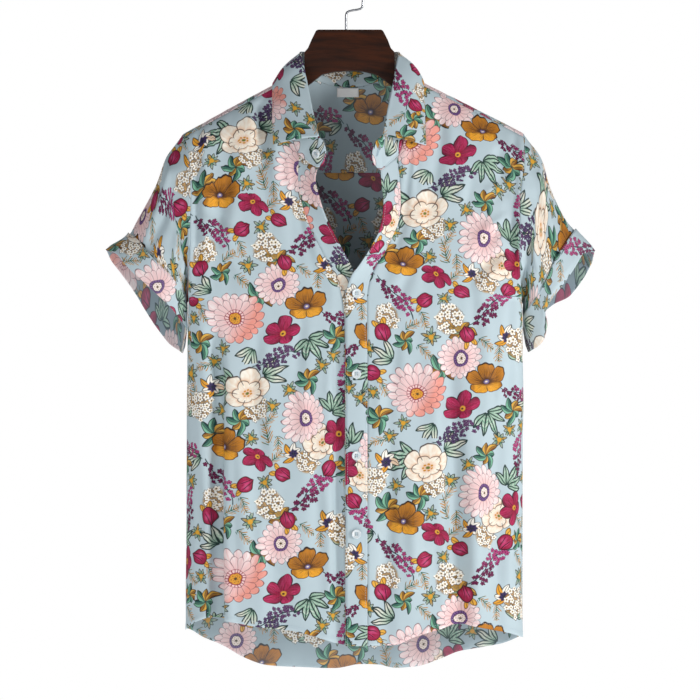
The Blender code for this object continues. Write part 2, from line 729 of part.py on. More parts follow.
def sleeve_rings(ring, turn, rows, curve, side):
    """The armhole and the rings after it, each with as many points."""
    share = (1 - np.cos(turn)) / 2
    in_front = np.sin(turn) >= 0
    at, top_front, top_back, hem_front, hem_back = columns(curve)
    rings = [ring]
    last = len(rows) - 1
    for index, (out_x, out_z, in_x, in_z, front, back, behind, part) in enumerate(rows):
        outer, inner = np.array([out_x, out_z]), np.array([in_x, in_z])
        way = (inner - outer) / np.linalg.norm(inner - outer)
        rise = np.array([-side * -way[1], -side * way[0]])
        ahead, after = (hem_front, hem_back) if index == last else (top_front, top_back)
        lift = part * np.where(in_front, smooth(at, ahead, share), -smooth(at, after, share))
        flat = outer + (inner - outer) * share[:, None] + rise * lift[:, None]
        y = np.where(in_front, -front, -back) * np.sin(turn) + behind * share**2
        rings.append(np.stack([flat[:, 0], y, flat[:, 1]], axis=1))
    return np.array(rings)


def sleeve_grid(rings, places):
    gaps = np.linalg.norm(np.diff(rings, axis=0), axis=2).mean(axis=1)
    at = np.concatenate([[0.0], np.cumsum(gaps)])
    where = np.interp(places, np.arange(len(at)), at)
    return smooth(at, rings.reshape(len(at), -1), where).reshape(len(where), -1, 3)


def lathe(name, outline, faces, material):
    """A round piece about z from an outline of radius and height that starts and ends on the axis."""
    mesh = bpy.data.meshes.new(name)
    shape = bmesh.new()
    points = [shape.verts.new((radius * METRES, 0.0, height * METRES)) for radius, height in outline]
    edges = [shape.edges.new(pair) for pair in zip(points[:-1], points[1:], strict=True)]
    bmesh.ops.spin(
        shape,
        geom=points + edges,
        axis=(0, 0, 1),
        cent=(0, 0, 0),
        angle=2 * np.pi,
        steps=faces,
        use_merge=True,
    )
    bmesh.ops.remove_doubles(shape, verts=shape.verts, dist=1e-6)
    bmesh.ops.recalc_face_normals(shape, faces=shape.faces)
    shape.to_mesh(mesh)
    shape.free()
    mesh.polygons.foreach_set("use_smooth", [True] * len(mesh.polygons))
    return new_object(name, mesh, material)


def cut(target, cutter, name):
    cutter.hide_render = True
    cutter.display_type = "WIRE"
    cutting = target.modifiers.new(name, "BOOLEAN")
    cutting.operation = "DIFFERENCE"
    cutting.solver = "EXACT"
    cutting.object = cutter


def seat_on(cloth, x, z):
    """Where a button rests on the front of a piece: a plane over the cloth under its rim, and its normal."""
    tree = BVHTree.FromObject(cloth, bpy.context.evaluated_depsgraph_get())
    found = []
    for angle in np.append(np.linspace(0.0, 2 * np.pi, SEAT_RAYS, endpoint=False), np.nan):
        step = np.zeros(2) if np.isnan(angle) else BUTTON_RADIUS * np.array([np.cos(angle), np.sin(angle)])
        start = np.array([x + step[0], SEAT_RAY_Y, z + step[1]]) * METRES
        hit = tree.ray_cast(start.tolist(), (0.0, 1.0, 0.0))[0]
        if hit is not None:
            found.append(np.array(hit) / METRES)
    found = np.array(found)
    fit = np.column_stack([found[:, 0] - x, found[:, 2] - z, np.ones(len(found))])
    lean_x, lean_z, middle = np.linalg.lstsq(fit, found[:, 1], rcond=None)[0]
    normal = np.array([lean_x, -1.0, lean_z])
    normal = normal / np.linalg.norm(normal)
    place = np.array([x, middle, z])
    return place + normal * (((found - place) @ normal).max() + LAYER_GAP), normal


def button(name, place, normal, material):
    """A round dished button with four holes through it, facing along normal."""
    rim, dish = BUTTON_RADIUS - BUTTON_RIM, BUTTON_THICK - BUTTON_DISH
    outline = (
        (0.0, 0.0),
        (BUTTON_RADIUS - BUTTON_FOOT_IN, 0.0),
        (BUTTON_RADIUS, BUTTON_FOOT_UP),
        (BUTTON_RADIUS, BUTTON_THICK - BUTTON_EDGE_DOWN),
        (BUTTON_RADIUS - BUTTON_EDGE_IN, BUTTON_THICK),
        (rim, BUTTON_THICK),
        (rim - BUTTON_DISH_SLOPE, dish),
        (0.0, dish),
    )
    made = lathe(name, outline, BUTTON_FACES, material)
    normal = normal / np.linalg.norm(normal)
    side = np.cross((0.0, 0.0, 1.0), normal)
    side = side / np.linalg.norm(side)
    frame = np.stack([side, np.cross(normal, side), normal, np.asarray(place) * METRES], axis=1)
    matrix = Matrix([*frame.tolist(), [0.0, 0.0, 0.0, 1.0]])
    drill = bpy.data.meshes.new(name + "_drill")
    shape = bmesh.new()
    for index in range(BUTTON_HOLES):
        angle = (2 * index + 1) * np.pi / BUTTON_HOLES
        out = BUTTON_HOLE_OUT * METRES
        where = Matrix.Translation((out * np.cos(angle), out * np.sin(angle), BUTTON_THICK / 2 * METRES))
        bmesh.ops.create_cone(
            shape,
            cap_ends=True,
            segments=BUTTON_HOLE_FACES,
            radius1=BUTTON_HOLE_RADIUS * METRES,
            radius2=BUTTON_HOLE_RADIUS * METRES,
            depth=3 * BUTTON_THICK * METRES,
            matrix=where,
        )
    shape.to_mesh(drill)
    shape.free()
    holes = new_object(name + "_drill", drill, material)
    for piece in (made, holes):
        piece.data.transform(matrix)
    cut(made, holes, "holes")
    return made


def hanger_wood(material):
    """The wooden body, flat in front and behind with rounded edges, and the hook's bore in its top."""
    outline = []
    for side in (RIGHT, LEFT):
        start = WOOD_TOP[0][0] if side == RIGHT else WOOD_TOP[-1][0]
        x = np.linspace(ARM_END_X[side], start + side * ARM_START, ARM_STEPS)
        top = np.stack([x, ridge(x) - ARM_DROP], axis=1)
        deep = smooth(*columns(ARM_DEPTH), np.linspace(0, 1, ARM_STEPS))
        low = np.stack([x, top[:, 1] - deep], axis=1)
        low[0, 0] -= side * ARM_TIP
        outline.append((top, low))
    right_top, right_low = outline[0]
    left_top, left_low = outline[1]
    arch = np.array(WOOD_ARCH)
    loop = np.concatenate([right_top, WOOD_TOP, left_top[::-1], left_low, arch[::-1], right_low[::-1]])
    mesh = bpy.data.meshes.new("hanger_wood")
    shape = bmesh.new()
    front = [shape.verts.new((x * METRES, -WOOD_HALF * METRES, z * METRES)) for x, z in loop]
    side = shape.faces.new(front)
    moved = bmesh.ops.extrude_face_region(shape, geom=[side])
    lifted = [item for item in moved["geom"] if isinstance(item, bmesh.types.BMVert)]
    bmesh.ops.translate(shape, verts=lifted, vec=(0, 2 * WOOD_HALF * METRES, 0))
    bmesh.ops.recalc_face_normals(shape, faces=shape.faces)
    shape.to_mesh(mesh)
    shape.free()
    made = new_object("hanger_wood", mesh, material)
    rounded = made.modifiers.new("rounded", "BEVEL")
    rounded.width = WOOD_BEVEL * METRES
    rounded.segments = WOOD_BEVEL_STEPS
    rounded.limit_method = "ANGLE"
    rounded.angle_limit = np.radians(WOOD_BEVEL_ANGLE)
    bore = lathe(
        "hook_bore",
        ((0.0, 0.0), (HOOK_BORE, 0.0), (HOOK_BORE, HOOK_BORE_CUTTER), (0.0, HOOK_BORE_CUTTER)),
        HOOK_FACES,
        material,
    )
    bore.location = (0.0, 0.0, (WOOD_TOP_Z - HOOK_BORE_DEPTH) * METRES)
    cut(made, bore, "bore")
    return made


def hanger_hook(material):
    """The bent wire, from its end inside the wood up and over the mount."""
    stem = np.array(HOOK_STEM, float)
    centre = WIRE_RADIUS - HOOK_RADIUS
    angle = np.radians(np.linspace(0.0, HOOK_TURN, HOOK_ARC_STEPS))
    arc = np.stack([HOOK_RADIUS * np.cos(angle), centre + HOOK_RADIUS * np.sin(angle)], axis=1)
    line = np.concatenate([stem, arc])
    curve = bpy.data.curves.new("hanger_hook", "CURVE")
    curve.dimensions = "3D"
    curve.bevel_depth = WIRE_RADIUS * METRES
    curve.bevel_resolution = HOOK_FACES // 4 - 1
    curve.use_fill_caps = True
    spline = curve.splines.new("POLY")
    spline.points.add(len(line) - 1)
    for point, (x, z) in zip(spline.points, line, strict=True):
        point.co = (x * METRES, 0.0, z * METRES, 1.0)
    curve.materials.append(material)
    made = bpy.data.objects.new("hanger_hook", curve)
    bpy.context.scene.collection.objects.link(made)
    return made


printed_cloth = finish("printed_cloth", (0.45, 0.58, 0.66), 0.7)
placket_cloth = finish("placket_cloth", (0.5, 0.62, 0.7), 0.7)
collar_cloth = finish("collar_cloth", (0.42, 0.56, 0.64), 0.7)
cuff_cloth = finish("cuff_cloth", (0.48, 0.6, 0.67), 0.7)
label_white = finish("label_white", (0.85, 0.85, 0.85), 0.6)
button_pearl = finish("button_pearl", (0.78, 0.82, 0.84), 0.25)
dark_wood = finish("dark_wood", (0.045, 0.014, 0.007), 0.3)
bright_steel = finish("bright_steel", (0.55, 0.55, 0.56), 0.2, 1.0)

# The two fronts, and the back in two halves that are one piece
right_band, right_front = front_panel(RIGHT, FRONT_EDGE_RIGHT, NECKLINE_RIGHT)
left_band, left_front = front_panel(LEFT, FRONT_EDGE_LEFT, NECKLINE_LEFT)
right_half, left_half = half_back(RIGHT), half_back(LEFT)
back = both_halves(right_half, left_half)
yoke = both_halves(half_yoke(RIGHT, right_half[-1]), half_yoke(LEFT, left_half[-1]))

edge = SEAM_GAP / 2
for name, points in (("front_right", turned(right_front)), ("front_left", left_front)):
    face = pulled_in(points, high=edge, first=edge, last=edge)
    top = np.stack([face[-1, :, 0], 0 * face[-1, :, 0], ridge(face[-1, :, 0])], axis=1)
    cloth_solid(name, face, CLOTH, printed_cloth, beyond=top)
cloth_solid("back", turned(pulled_in(back, high=edge, first=edge, last=edge)), CLOTH, printed_cloth)
face = turned(pulled_in(yoke, low=edge, high=edge))
next_z = ridge(face[-1, :, 0]) - (2 * FRONT_LEVEL) ** 2
next_row = np.stack([face[-1, :, 0], -half_depth(face[-1, :, 0], next_z), next_z], axis=1)
in_neck = np.abs(np.arange(face.shape[1]) - HALF_BACK_COLUMNS) < NECK_COLUMNS
next_row[in_neck] = 2 * face[-1, in_neck] - face[-2, in_neck]
cloth_solid("yoke", face, CLOTH, printed_cloth, beyond=next_row)

# The plackets, each on its front's inner edge
under_band = placket(right_band, right_front[: BAND_ROWS + 1, 0], 0.0)
over_band = placket(left_band, left_front[: BAND_ROWS + 1, 0], LAYER_GAP + PLACKET_WALL)
cloth_solid("placket_right", pulled_in(under_band, first=edge), PLACKET_WALL, placket_cloth)
new_placket = cloth_solid("placket_left", turned(over_band), PLACKET_WALL, placket_cloth)

# The sleeves and their turned-up cuffs
for side, front, yoke_side, rows, curve, word in (
    (RIGHT, right_front, yoke[:, 0], SLEEVE_RIGHT, CUFF_CURVE_RIGHT, "right"),
    (LEFT, left_front, yoke[:, -1], SLEEVE_LEFT, CUFF_CURVE_LEFT, "left"),
):
    ring, turn = armhole_ring(side, front, back, yoke_side)
    rings = sleeve_rings(ring, turn, rows, curve, side)
    sleeve = sleeve_grid(rings, SLEEVE_ROWS)
    cuff = sleeve_grid(rings, np.linspace(*CUFF_RINGS, CUFF_ROWS + 1))
    if side == RIGHT:
        sleeve, cuff = turned(sleeve), turned(cuff)
    cuff = cuff + normals(cuff, closed=True) * LAYER_GAP
    before = sleeve[0] - side * np.array([np.ptp(sleeve[:3, :, 0]), 0.0, 0.0])
    cloth_solid("sleeve_" + word, sleeve, CLOTH, printed_cloth, closed=True, before=before)
    cloth_solid("cuff_" + word, cuff, CUFF_WALL, cuff_cloth, closed=True, outwards=True)


def half_collar(band_top, neckline, yoke_neck, tab, roll_rows, leaf_rows):
    """Lower edge, roll line and outer edge of half the collar, from the middle of the back forwards."""
    lower = np.concatenate([yoke_neck, neckline[:-1], band_top])
    length = np.concatenate([[0.0], np.cumsum(np.linalg.norm(np.diff(lower, axis=0), axis=1))])
    share = TAB_SHARE * length / length[-1]
    share = np.concatenate([share, [(TAB_SHARE + 1) / 2, 1.0]])
    lower = np.concatenate([lower, np.array(tab)])
    roll = columns(roll_rows)
    leaf = columns(leaf_rows)
    upper = smooth(roll[0], roll[1:].T, share)
    outer = smooth(leaf[0], leaf[1:].T, share[:-TAB_POINTS])
    way = upper - lower
    lower = lower + way / np.linalg.norm(way, axis=1, keepdims=True) * SEAM_GAP
    return lower, upper, outer


def across_collar(start, end, rows):
    up = np.linspace(0.0, 1.0, rows + 1)[:, None, None]
    return start[None] + (end - start)[None] * up


halves = {}
for side, front, band_grid, roll_rows, leaf_rows, tab in (
    (RIGHT, right_front, under_band, ROLL_RIGHT, LEAF_RIGHT, TAB_RIGHT),
    (LEFT, left_front, over_band, ROLL_LEFT, LEAF_LEFT, TAB_LEFT),
):
    middle = HALF_BACK_COLUMNS
    neck = yoke[-1, middle : middle + side * NECK_COLUMNS : side]
    neckline = front[BAND_ROWS:, 0][::-1]
    halves[side] = half_collar(band_grid[-1], neckline, neck, tab, roll_rows, leaf_rows)


def joined(part):
    right, left = halves[RIGHT][part], halves[LEFT][part]
    return np.concatenate([right[:0:-1], left])


stand = across_collar(joined(0), joined(1), STAND_ROWS)
new_stand = cloth_solid("collar_stand", turned(stand), CLOTH, collar_cloth, outwards=True)
outwards = normals(turned(stand))[:, ::-1]
start = (stand + outwards * (CLOTH + LAYER_GAP))[-1, TAB_POINTS:-TAB_POINTS]
fall = across_collar(start, joined(2), FALL_ROWS)
bulge = np.sin(np.pi * np.linspace(0.0, 1.0, FALL_ROWS + 1))[:, None, None] * FALL_BULGE
fall = fall - normals(turned(fall))[:, ::-1] * bulge
cloth_solid("collar_fall", fall, CLOTH, collar_cloth, outwards=True)

# The label
label_x = np.linspace(*LABEL_X, LABEL_COLUMNS + 1)[None, :]
label_z = np.linspace(*LABEL_Z, LABEL_ROWS + 1)[:, None]
label_y = half_depth(label_x, label_z) - CLOTH - LAYER_GAP
label = np.stack(np.broadcast_arrays(label_x, label_y, label_z), axis=2)
cloth_solid("label", label, LABEL_WALL, label_white)

# The buttons, the first on the stand's end and the others down the placket
button("button_1", *seat_on(new_stand, *STAND_BUTTON), button_pearl)
for index, z in enumerate(PLACKET_BUTTON_Z):
    button(f"button_{index + 2}", *seat_on(new_placket, PLACKET_BUTTON_X, z), button_pearl)

hanger_wood(dark_wood)
hanger_hook(bright_steel)
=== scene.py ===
"""A printed short-sleeved shirt on a wooden hanger, in its cloth, thread and varnish.

Sizes in the tables are millimetres from the mount, which is the inside top of the hook. x runs to the
wearer's left, y to the back and z up. A table's columns are named above it.
"""

import bmesh
import bpy
import numpy as np
from mathutils import Matrix, Vector


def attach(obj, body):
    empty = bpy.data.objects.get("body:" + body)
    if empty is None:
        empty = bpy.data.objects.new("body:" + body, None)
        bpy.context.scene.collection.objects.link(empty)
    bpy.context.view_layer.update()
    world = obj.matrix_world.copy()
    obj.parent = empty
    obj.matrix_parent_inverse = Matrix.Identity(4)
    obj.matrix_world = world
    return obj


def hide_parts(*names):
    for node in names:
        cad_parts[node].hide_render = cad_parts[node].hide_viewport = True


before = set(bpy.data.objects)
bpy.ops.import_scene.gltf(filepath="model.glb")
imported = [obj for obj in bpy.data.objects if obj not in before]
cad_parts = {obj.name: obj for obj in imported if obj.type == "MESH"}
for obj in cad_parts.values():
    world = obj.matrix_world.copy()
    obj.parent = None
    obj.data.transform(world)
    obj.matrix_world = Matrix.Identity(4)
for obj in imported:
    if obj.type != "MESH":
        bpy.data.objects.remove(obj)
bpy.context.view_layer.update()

# The two fronts. Each is one cut piece of thin printed viscose, sewn to the yoke over the shoulder, to the
# back at the side, to the sleeve round the armhole and to its placket in front. The hem is turned up twice.
METRES = 0.001
RIGHT, LEFT = -1, 1
FRONT, BACK = -1, 1
CLOTH = 0.5
SEAM_GROOVE = 0.35
HEM_HEIGHT, HEM_PROUD, HEM_SLOPE = 7.0, 0.4, 1.5
HEM_STITCHES = HEM_HEIGHT - 0.6
ARMHOLE_STITCHES = 1.6

NECK_X = 4.0
RIDGE_TOP = -96.0
RIDGE_ROUND = 25.0
SHOULDER_SLOPE = {RIGHT: 0.5507, LEFT: 0.5178}
FRONT_LEVEL = 2.2
FRONT_SEAM_DROP = FRONT_LEVEL**2
SHOULDER_END_Z = -197.0
UNDERARM_Z = -405.0
ARMHOLE_WIDEST_Z = -320.0
RING_STEPS, ARMHOLE_STEPS = 145, 200
FIT_ROUNDS, FINE_ROUNDS = 14, 2
FOLD_ENDS = 0.14
BAND_ROWS, NECK_ROWS, LOW_ROWS, ARMHOLE_ROWS, FRONT_COLUMNS = 17, 5, 13, 9, 12
FINER, ACROSS = 10, 6

# height, wearer's right side, wearer's left side, middle
SIDES = (
    (-850, -200, 220.6, 11), (-606, -198.8, 220.5, 11), (-467, -197.5, 220, 11),
    (-405, -196, 218, 10), (-340, -193.5, 214.5, 8.5), (-281, -192.5, 215.5, 7),
    (-225, -195.5, 222, 5.5), (-197, -203.5, 221.3, 5), (-90, -203.5, 221.3, 4),
)
# square root of the drop below the shoulder line, half the depth there
DEPTHS = (
    (0, 0), (2.2, 11.5), (4, 20), (6, 29), (9, 38), (12, 46), (16, 56), (20, 62), (23, 65),
    (28, 67),
)
# height, how square a ring is
SQUARENESS = (
    (-850, 3), (-620, 3.1), (-520, 3.8), (-450, 5.2), (-405, 7), (-300, 7),
)
# half of the body, face, x and height of the top, x and height of the bottom, width, depth inwards
FOLDS = (
    (RIGHT, FRONT, -163, -415, -159, -1000, 11, 13), (RIGHT, FRONT, -8, -380, -7, -1000, 8, 4.5),
    (RIGHT, FRONT, -104, -156, -106, -225, 9, 4), (RIGHT, FRONT, -150, -200, -172, -330, 9, 3),
    (RIGHT, FRONT, -86, -560, -72, -1000, 20, 3.5), (LEFT, FRONT, 128, -400, 142, -1000, 14, 6.5),
    (LEFT, FRONT, 52, -560, 46, -1000, 9, 3.5), (LEFT, FRONT, 190, -210, 196, -330, 8, 5),
    (LEFT, FRONT, 186, -430, 190, -1000, 9, 4), (RIGHT, BACK, -120, -300, -128, -1000, 17, 7),
    (RIGHT, BACK, -60, -420, -58, -1000, 20, -5), (LEFT, BACK, 70, -330, 64, -1000, 18, 6),
    (LEFT, BACK, 150, -300, 158, -1000, 16, 8),
)
# wearer's right front, from the hem up: seam x and height, free edge x and height, how far the edge curls
# out
FRONT_EDGE_RIGHT = (
    (-1.1, -830.2, 25.9, -830.2, 0), (-1.2, -652.1, 25.9, -652.1, 0),
    (-1.2, -504.5, 25.9, -504.5, 0), (-1.8, -430.5, 24.7, -436, 0), (-4.9, -400.9, 19.8, -403.4, 0),
    (-11, -381.2, 11.2, -373.9, 2), (-22.1, -359, 2.5, -356.7, 6),
    (-34.5, -335.5, -14.7, -324.8, 10), (-46.8, -309.5, -25.8, -301.4, 12.5),
    (-55.5, -282.2, -33.1, -279.2, 14), (-59.3, -254.9, -38.1, -258.2, 14.5),
    (-58, -225.2, -35.6, -243.4, 14),
)
# wearer's left front, same columns
FRONT_EDGE_LEFT = (
    (26.5, -831.4, -0.5, -831.4, 0), (26.6, -652.1, -0.5, -652.1, 0),
    (26.6, -504.5, -0.5, -504.5, 0), (26, -430.5, -0.5, -430.5, 0), (26, -405.9, 0.1, -400, 3),
    (28.4, -386.1, 6.2, -377.7, 8), (35.8, -366.4, 17.3, -362.9, 11),
    (48.2, -346.6, 32.1, -339.6, 13), (58.1, -326.9, 41.9, -319.9, 14),
    (65.5, -307, 45.6, -301.4, 14), (68, -285.9, 46.8, -282.9, 14.5),
    (66.8, -259.9, 44.4, -264.3, 14.5), (64.3, -227.7, 43.2, -245.9, 14),
)
# neckline of each front above its placket: x, height
NECKLINE_RIGHT = (
    (-58, -225.2), (-65.6, -205), (-68.1, -182.4), (-67, -157.1), (-62.2, -133.9), (-57.3, -122.5),
)
NECKLINE_LEFT = (
    (64.3, -227.7), (70.6, -207.5), (73.2, -182.4), (72, -157.1), (67.2, -133.9), (64.8, -122.5),
)
# x, height of the hem
HEM_FRONT = (
    (-200, -816.2), (-191.3, -807.9), (-183.1, -802.9), (-167.7, -798.1), (-136.6, -803.6),
    (-102, -809.7), (-68.8, -812.7), (-41.1, -819.1), (-1.1, -830.2), (26.5, -831.4),
    (60.3, -830.4), (81.8, -821.6), (114.4, -811.7), (142.2, -805.5), (158.8, -808.3),
    (181.3, -813.2), (203.1, -818.1), (220.6, -825),
)
# soft creases: x and height of one end, x and height of the other, sideways bend, width, height of the
# ridge
CREASES_RIGHT_FRONT = (
    (-97, -212, -106, -150, 2, 9, -4.6), (-186, -300, -120, -352, 6, 7, 3.5),
    (-188, -335, -128, -398, 8, 8, -4), (-184, -270, -140, -288, 4, 6, 2.6),
    (-182, -420, -150, -560, -6, 8, 3.5), (-120, -215, -92, -330, 5, 9, -3.2),
    (-92, -190, -76, -290, -4, 7, 2.9), (-78, -250, -58, -420, 6, 9, -2.9),
    (-60, -470, -52, -640, 5, 9, 3.2), (-100, -420, -118, -600, -8, 11, -3.5),
    (-135, -560, -128, -800, 6, 11, 4.4), (-40, -590, -34, -815, 4, 9, -4),
    (-105, -660, -98, -812, -3, 9, 4), (-186, -600, -180, -806, 3, 7, -3.5),
    (-72, -340, -30, -430, -5, 8, 2.2), (-22, -450, -24, -560, 2, 6, 2),
    (-162, -540, -160, -1060, 0, 9, -6), (-157, -470, -156, -1100, 0, 7, -7),
    (-164, -420, -158, -640, 4, 8, -3.9), (-99, -128, -108, -262, 4, 9, -5.9),
    (-66, -226, -14, -432, -10, 7, -3.9), (-10, -400, -9, -980, 0, 7, -5.2),
    (-142, -190, -176, -372, 8, 9, -3.9), (-64, -188, -64, -262, 0, 2.8, 1.6),
    (-74, -196, -71, -290, 1, 3.2, 1.4), (-184, -160, -187, -412, 0, 6, -4.5),
    (-170, -232, -173, -392, 3, 6, 2.4), (-118, -470, -106, -700, 6, 10, -3.6),
    (-52, -400, -58, -560, -4, 8, -2.8),
)
CREASES_LEFT_FRONT = (
    (206, -296, 150, -350, -6, 7, 3.5), (208, -340, 146, -396, -8, 8, -4),
    (205, -262, 166, -280, -4, 6, 2.6), (204, -420, 176, -570, 6, 8, 3.8),
    (120, -190, 106, -330, -5, 9, -3.2), (92, -250, 74, -400, 4, 8, 2.9),
    (150, -230, 132, -300, 3, 7, 2.6), (66, -430, 58, -560, -4, 8, -2.9),
    (98, -440, 110, -640, 7, 11, 3.5), (165, -560, 168, -800, -5, 10, 4.4),
    (82, -600, 78, -822, 4, 10, 4.2), (112, -680, 118, -812, -3, 8, -3.8),
    (208, -610, 204, -812, -3, 6, 3.2), (90, -330, 44, -440, 5, 8, -2.5),
    (38, -470, 40, -590, 2, 6, 2), (131, -490, 147, -1080, 0, 13, -9),
    (205, -392, 202, -580, -3, 7, -5.2), (186, -200, 205, -420, 6, 9, -4.2),
    (76, -228, 38, -410, 8, 7, -3.4), (52, -520, 44, -800, 4, 8, -3.9),
    (116, -150, 124, -262, -3, 9, -3.9), (71, -196, 70, -284, 1, 2.6, 1.8),
    (77, -190, 76, -268, -1, 2.8, 1.7), (84, -200, 80, -300, 1, 3.4, 1.6),
    (209, -165, 211, -405, 0, 6, -4.5), (196, -236, 198, -384, -3, 6, 2.4),
    (152, -360, 158, -560, 4, 9, -3.4), (66, -560, 70, -760, -4, 9, -3.2),
)


def columns(rows):
    return np.array(rows, float).T


def smooth(at, given, where):
    """Values on a cubic through a table's rows that never goes past them."""
    at = np.asarray(at, float)
    given = np.asarray(given, float)
    single = given.ndim == 1
    if single:
        given = given[:, None]
    where = np.clip(np.asarray(where, float), at[0], at[-1])
    step = np.diff(at)
    rise = np.diff(given, axis=0) / step[:, None]
    same = rise[:-1] * rise[1:] > 0
    slope = np.empty_like(given)
    slope[0] = rise[0]
    slope[-1] = rise[-1]
    both = np.where(same, rise[:-1] + rise[1:], 1)
    slope[1:-1] = np.where(same, 2 * rise[:-1] * rise[1:] / both, 0)
    row = np.clip(np.searchsorted(at, where, side="right") - 1, 0, len(at) - 2)
    span = step[row][..., None]
    t = ((where - at[row]) / step[row])[..., None]
    found = given[row] * (1 + 2 * t) * (1 - t) ** 2 + slope[row] * span * t * (1 - t) ** 2
    found = found + given[row + 1] * t**2 * (3 - 2 * t) + slope[row + 1] * span * t**2 * (t - 1)
    return found[..., 0] if single else found


def rounded(given, where):
    """Values on a round spline through evenly spaced rows, at these places."""
    given = np.asarray(given, float)
    last = len(given) - 1
    where = np.clip(where, 0, last)
    row = np.minimum(where.astype(int), last - 1)
    t = (where - row).reshape((-1,) + (1,) * (given.ndim - 1))
    wide = np.concatenate([2 * given[:1] - given[1:2], given, 2 * given[-1:] - given[-2:-1]])
    a, b, c, d = (wide[row + shift] for shift in range(4))
    return b + t / 2 * (c - a + t * (2 * a - 5 * b + 4 * c - d + t * (3 * (b - c) + d - a)))


def finer_grid(grid, rows, across):
    """The same surface with this many rows and columns of cells."""
    grid = rounded(grid, np.linspace(0, grid.shape[0] - 1, rows + 1))
    grid = np.swapaxes(grid, 0, 1)
    return np.swapaxes(rounded(grid, np.linspace(0, grid.shape[0] - 1, across + 1)), 0, 1)


def run_of(steps):
    """Length from the first row to each, from the steps between them."""
    return np.concatenate([np.zeros((1, *steps.shape[1:])), np.cumsum(steps, axis=0)])


def eased(t):
    """From 0 to 1, slow at both ends."""
    return t**2 * (3 - 2 * t)


def ridge(x):
    """Height of the line along the top of the shoulders."""
    slope = np.where(x < NECK_X, SHOULDER_SLOPE[RIGHT], SHOULDER_SLOPE[LEFT])
    return RIDGE_TOP - slope * (np.hypot(x - NECK_X, RIDGE_ROUND) - RIDGE_ROUND)


def half_depth(x, z):
    at, deep = columns(DEPTHS)
    return smooth(at, deep, np.sqrt(np.maximum(ridge(x) - z, 0.0)))


def side_x(z, side):
    at, right, left, _ = columns(SIDES)
    return smooth(at, right if side == RIGHT else left, z)


def middle_x(z):
    table = columns(SIDES)
    return smooth(table[0], table[3], z)


def armhole_share(z):
    """How much of the body's depth the armhole takes: all of it high up, none at the underarm."""
    low = np.clip((ARMHOLE_WIDEST_Z - z) / (ARMHOLE_WIDEST_Z - UNDERARM_Z), 0.0, 1.0)
    return np.sqrt(1 - low**2)


def fold_amount(x, z, side, face):
    """How far the folds push the cloth inwards."""
    total = np.zeros(np.broadcast(x, z).shape)
    for half, on, x_top, z_top, x_low, z_low, width, deep in FOLDS:
        if (half, on) != (side, face):
            continue
        share = np.clip((z_top - z) / (z_top - z_low), 0.0, 1.0)
        centre = x_top + (x_low - x_top) * share
        ends = np.clip(share / FOLD_ENDS, 0, 1) * np.clip((1 - share) / FOLD_ENDS, 0, 1)
        total = total + deep * eased(ends) * np.exp(-(((x - centre) / width) ** 2))
    return total


def half_ring(z, side, face):
    """The body at each height, from its middle to its side: x, y and the length along it."""
    z = np.asarray(z, float).reshape(-1, 1)
    at, power = columns(SQUARENESS)
    power = smooth(at, power, z)
    share = np.linspace(0.0, 1.0, RING_STEPS)
    near, far = share ** (power / 2), (1 - share) ** (power / 2)
    turn = near / (near + far) * np.pi / 2
    across = np.sin(turn) ** (2 / power)
    along = np.clip(np.cos(turn), 0, 1) ** (2 / power)
    middle = middle_x(z)
    x = middle + (side_x(z, side) - middle) * across
    keep = armhole_share(z)
    y = half_depth(x, z) * (keep + (1 - keep) * along)
    run_x, run_y = np.gradient(x, axis=1), np.gradient(y, axis=1)
    size = np.maximum(np.hypot(run_x, run_y), 1e-9)
    inwards = fold_amount(x, z, side, face) * (1 - across**10)
    x = x + side * run_y / size * inwards
    y = y - side * run_x / size * inwards
    length = np.cumsum(np.hypot(np.diff(x, axis=1), np.diff(y, axis=1)), axis=1)
    length = np.concatenate([np.zeros_like(z), length], axis=1)
    return x, face * y, length


def on_ring(z, length_of, side, face):
    """Points at these heights, and each one's place along its ring, as length_of gives it."""
    shape = z.shape
    x, y, length = half_ring(z.ravel(), side, face)
    want = length_of(length[:, -1].reshape(shape)).ravel()
    found = np.empty((len(want), 3))
    for row in range(len(want)):
        found[row, 0] = np.interp(want[row], length[row], x[row])
        found[row, 1] = np.interp(want[row], length[row], y[row])
    found[:, 2] = z.ravel()
    return found.reshape(shape + (3,)), want.reshape(shape)


def length_at(x_wanted, z, side, face):
    """Place along the ring at which it reaches x."""
    x, _, length = half_ring(z, side, face)
    rows = zip(x_wanted, side * x, length, strict=True)
    return np.array([np.interp(side * want, across, place) for want, across, place in rows])


def body_panel(side, face, inner_of, outer_of, count, across, hem, top_of):
    """A fine grid from the hem up, each row from its inner edge to the side, and its places."""
    z = None
    for finer, wide, rounds in ((1, 1, FIT_ROUNDS), (FINER, across, FINE_ROUNDS)):
        inner, outer_z = inner_of(finer), outer_of(finer)
        share = np.linspace(0.0, 1.0, count * wide + 1)[None, :]
        up = np.linspace(0.0, 1.0, len(inner))[:, None]
        plain = inner[:, 1:] + (outer_z[:, None] - inner[:, 1:]) * share
        start = length_at(inner[:, 0], inner[:, 1], side, face)[:, None]
        if z is None:
            z = plain.copy()
        else:
            z = finer_grid(z, len(inner) - 1, count * wide)
            z = z + (inner[:, 1:] - z[:, :1]) * (1 - share)
            z = z + (outer_z[:, None] - z[:, -1:]) * share
        for _ in range(rounds):
            points, _ = on_ring(z, lambda whole: start + (whole - start) * share, side, face)
            low = smooth(*columns(hem), points[:1, :, 0]) - plain[:1]
            high = top_of(points[-1:, :, 0]) - plain[-1:]
            z = (z + plain + low * (1 - up) ** 3 + high * up**3) / 2
    points, place = on_ring(z, lambda whole: start + (whole - start) * share, side, face)
    return points, side * place


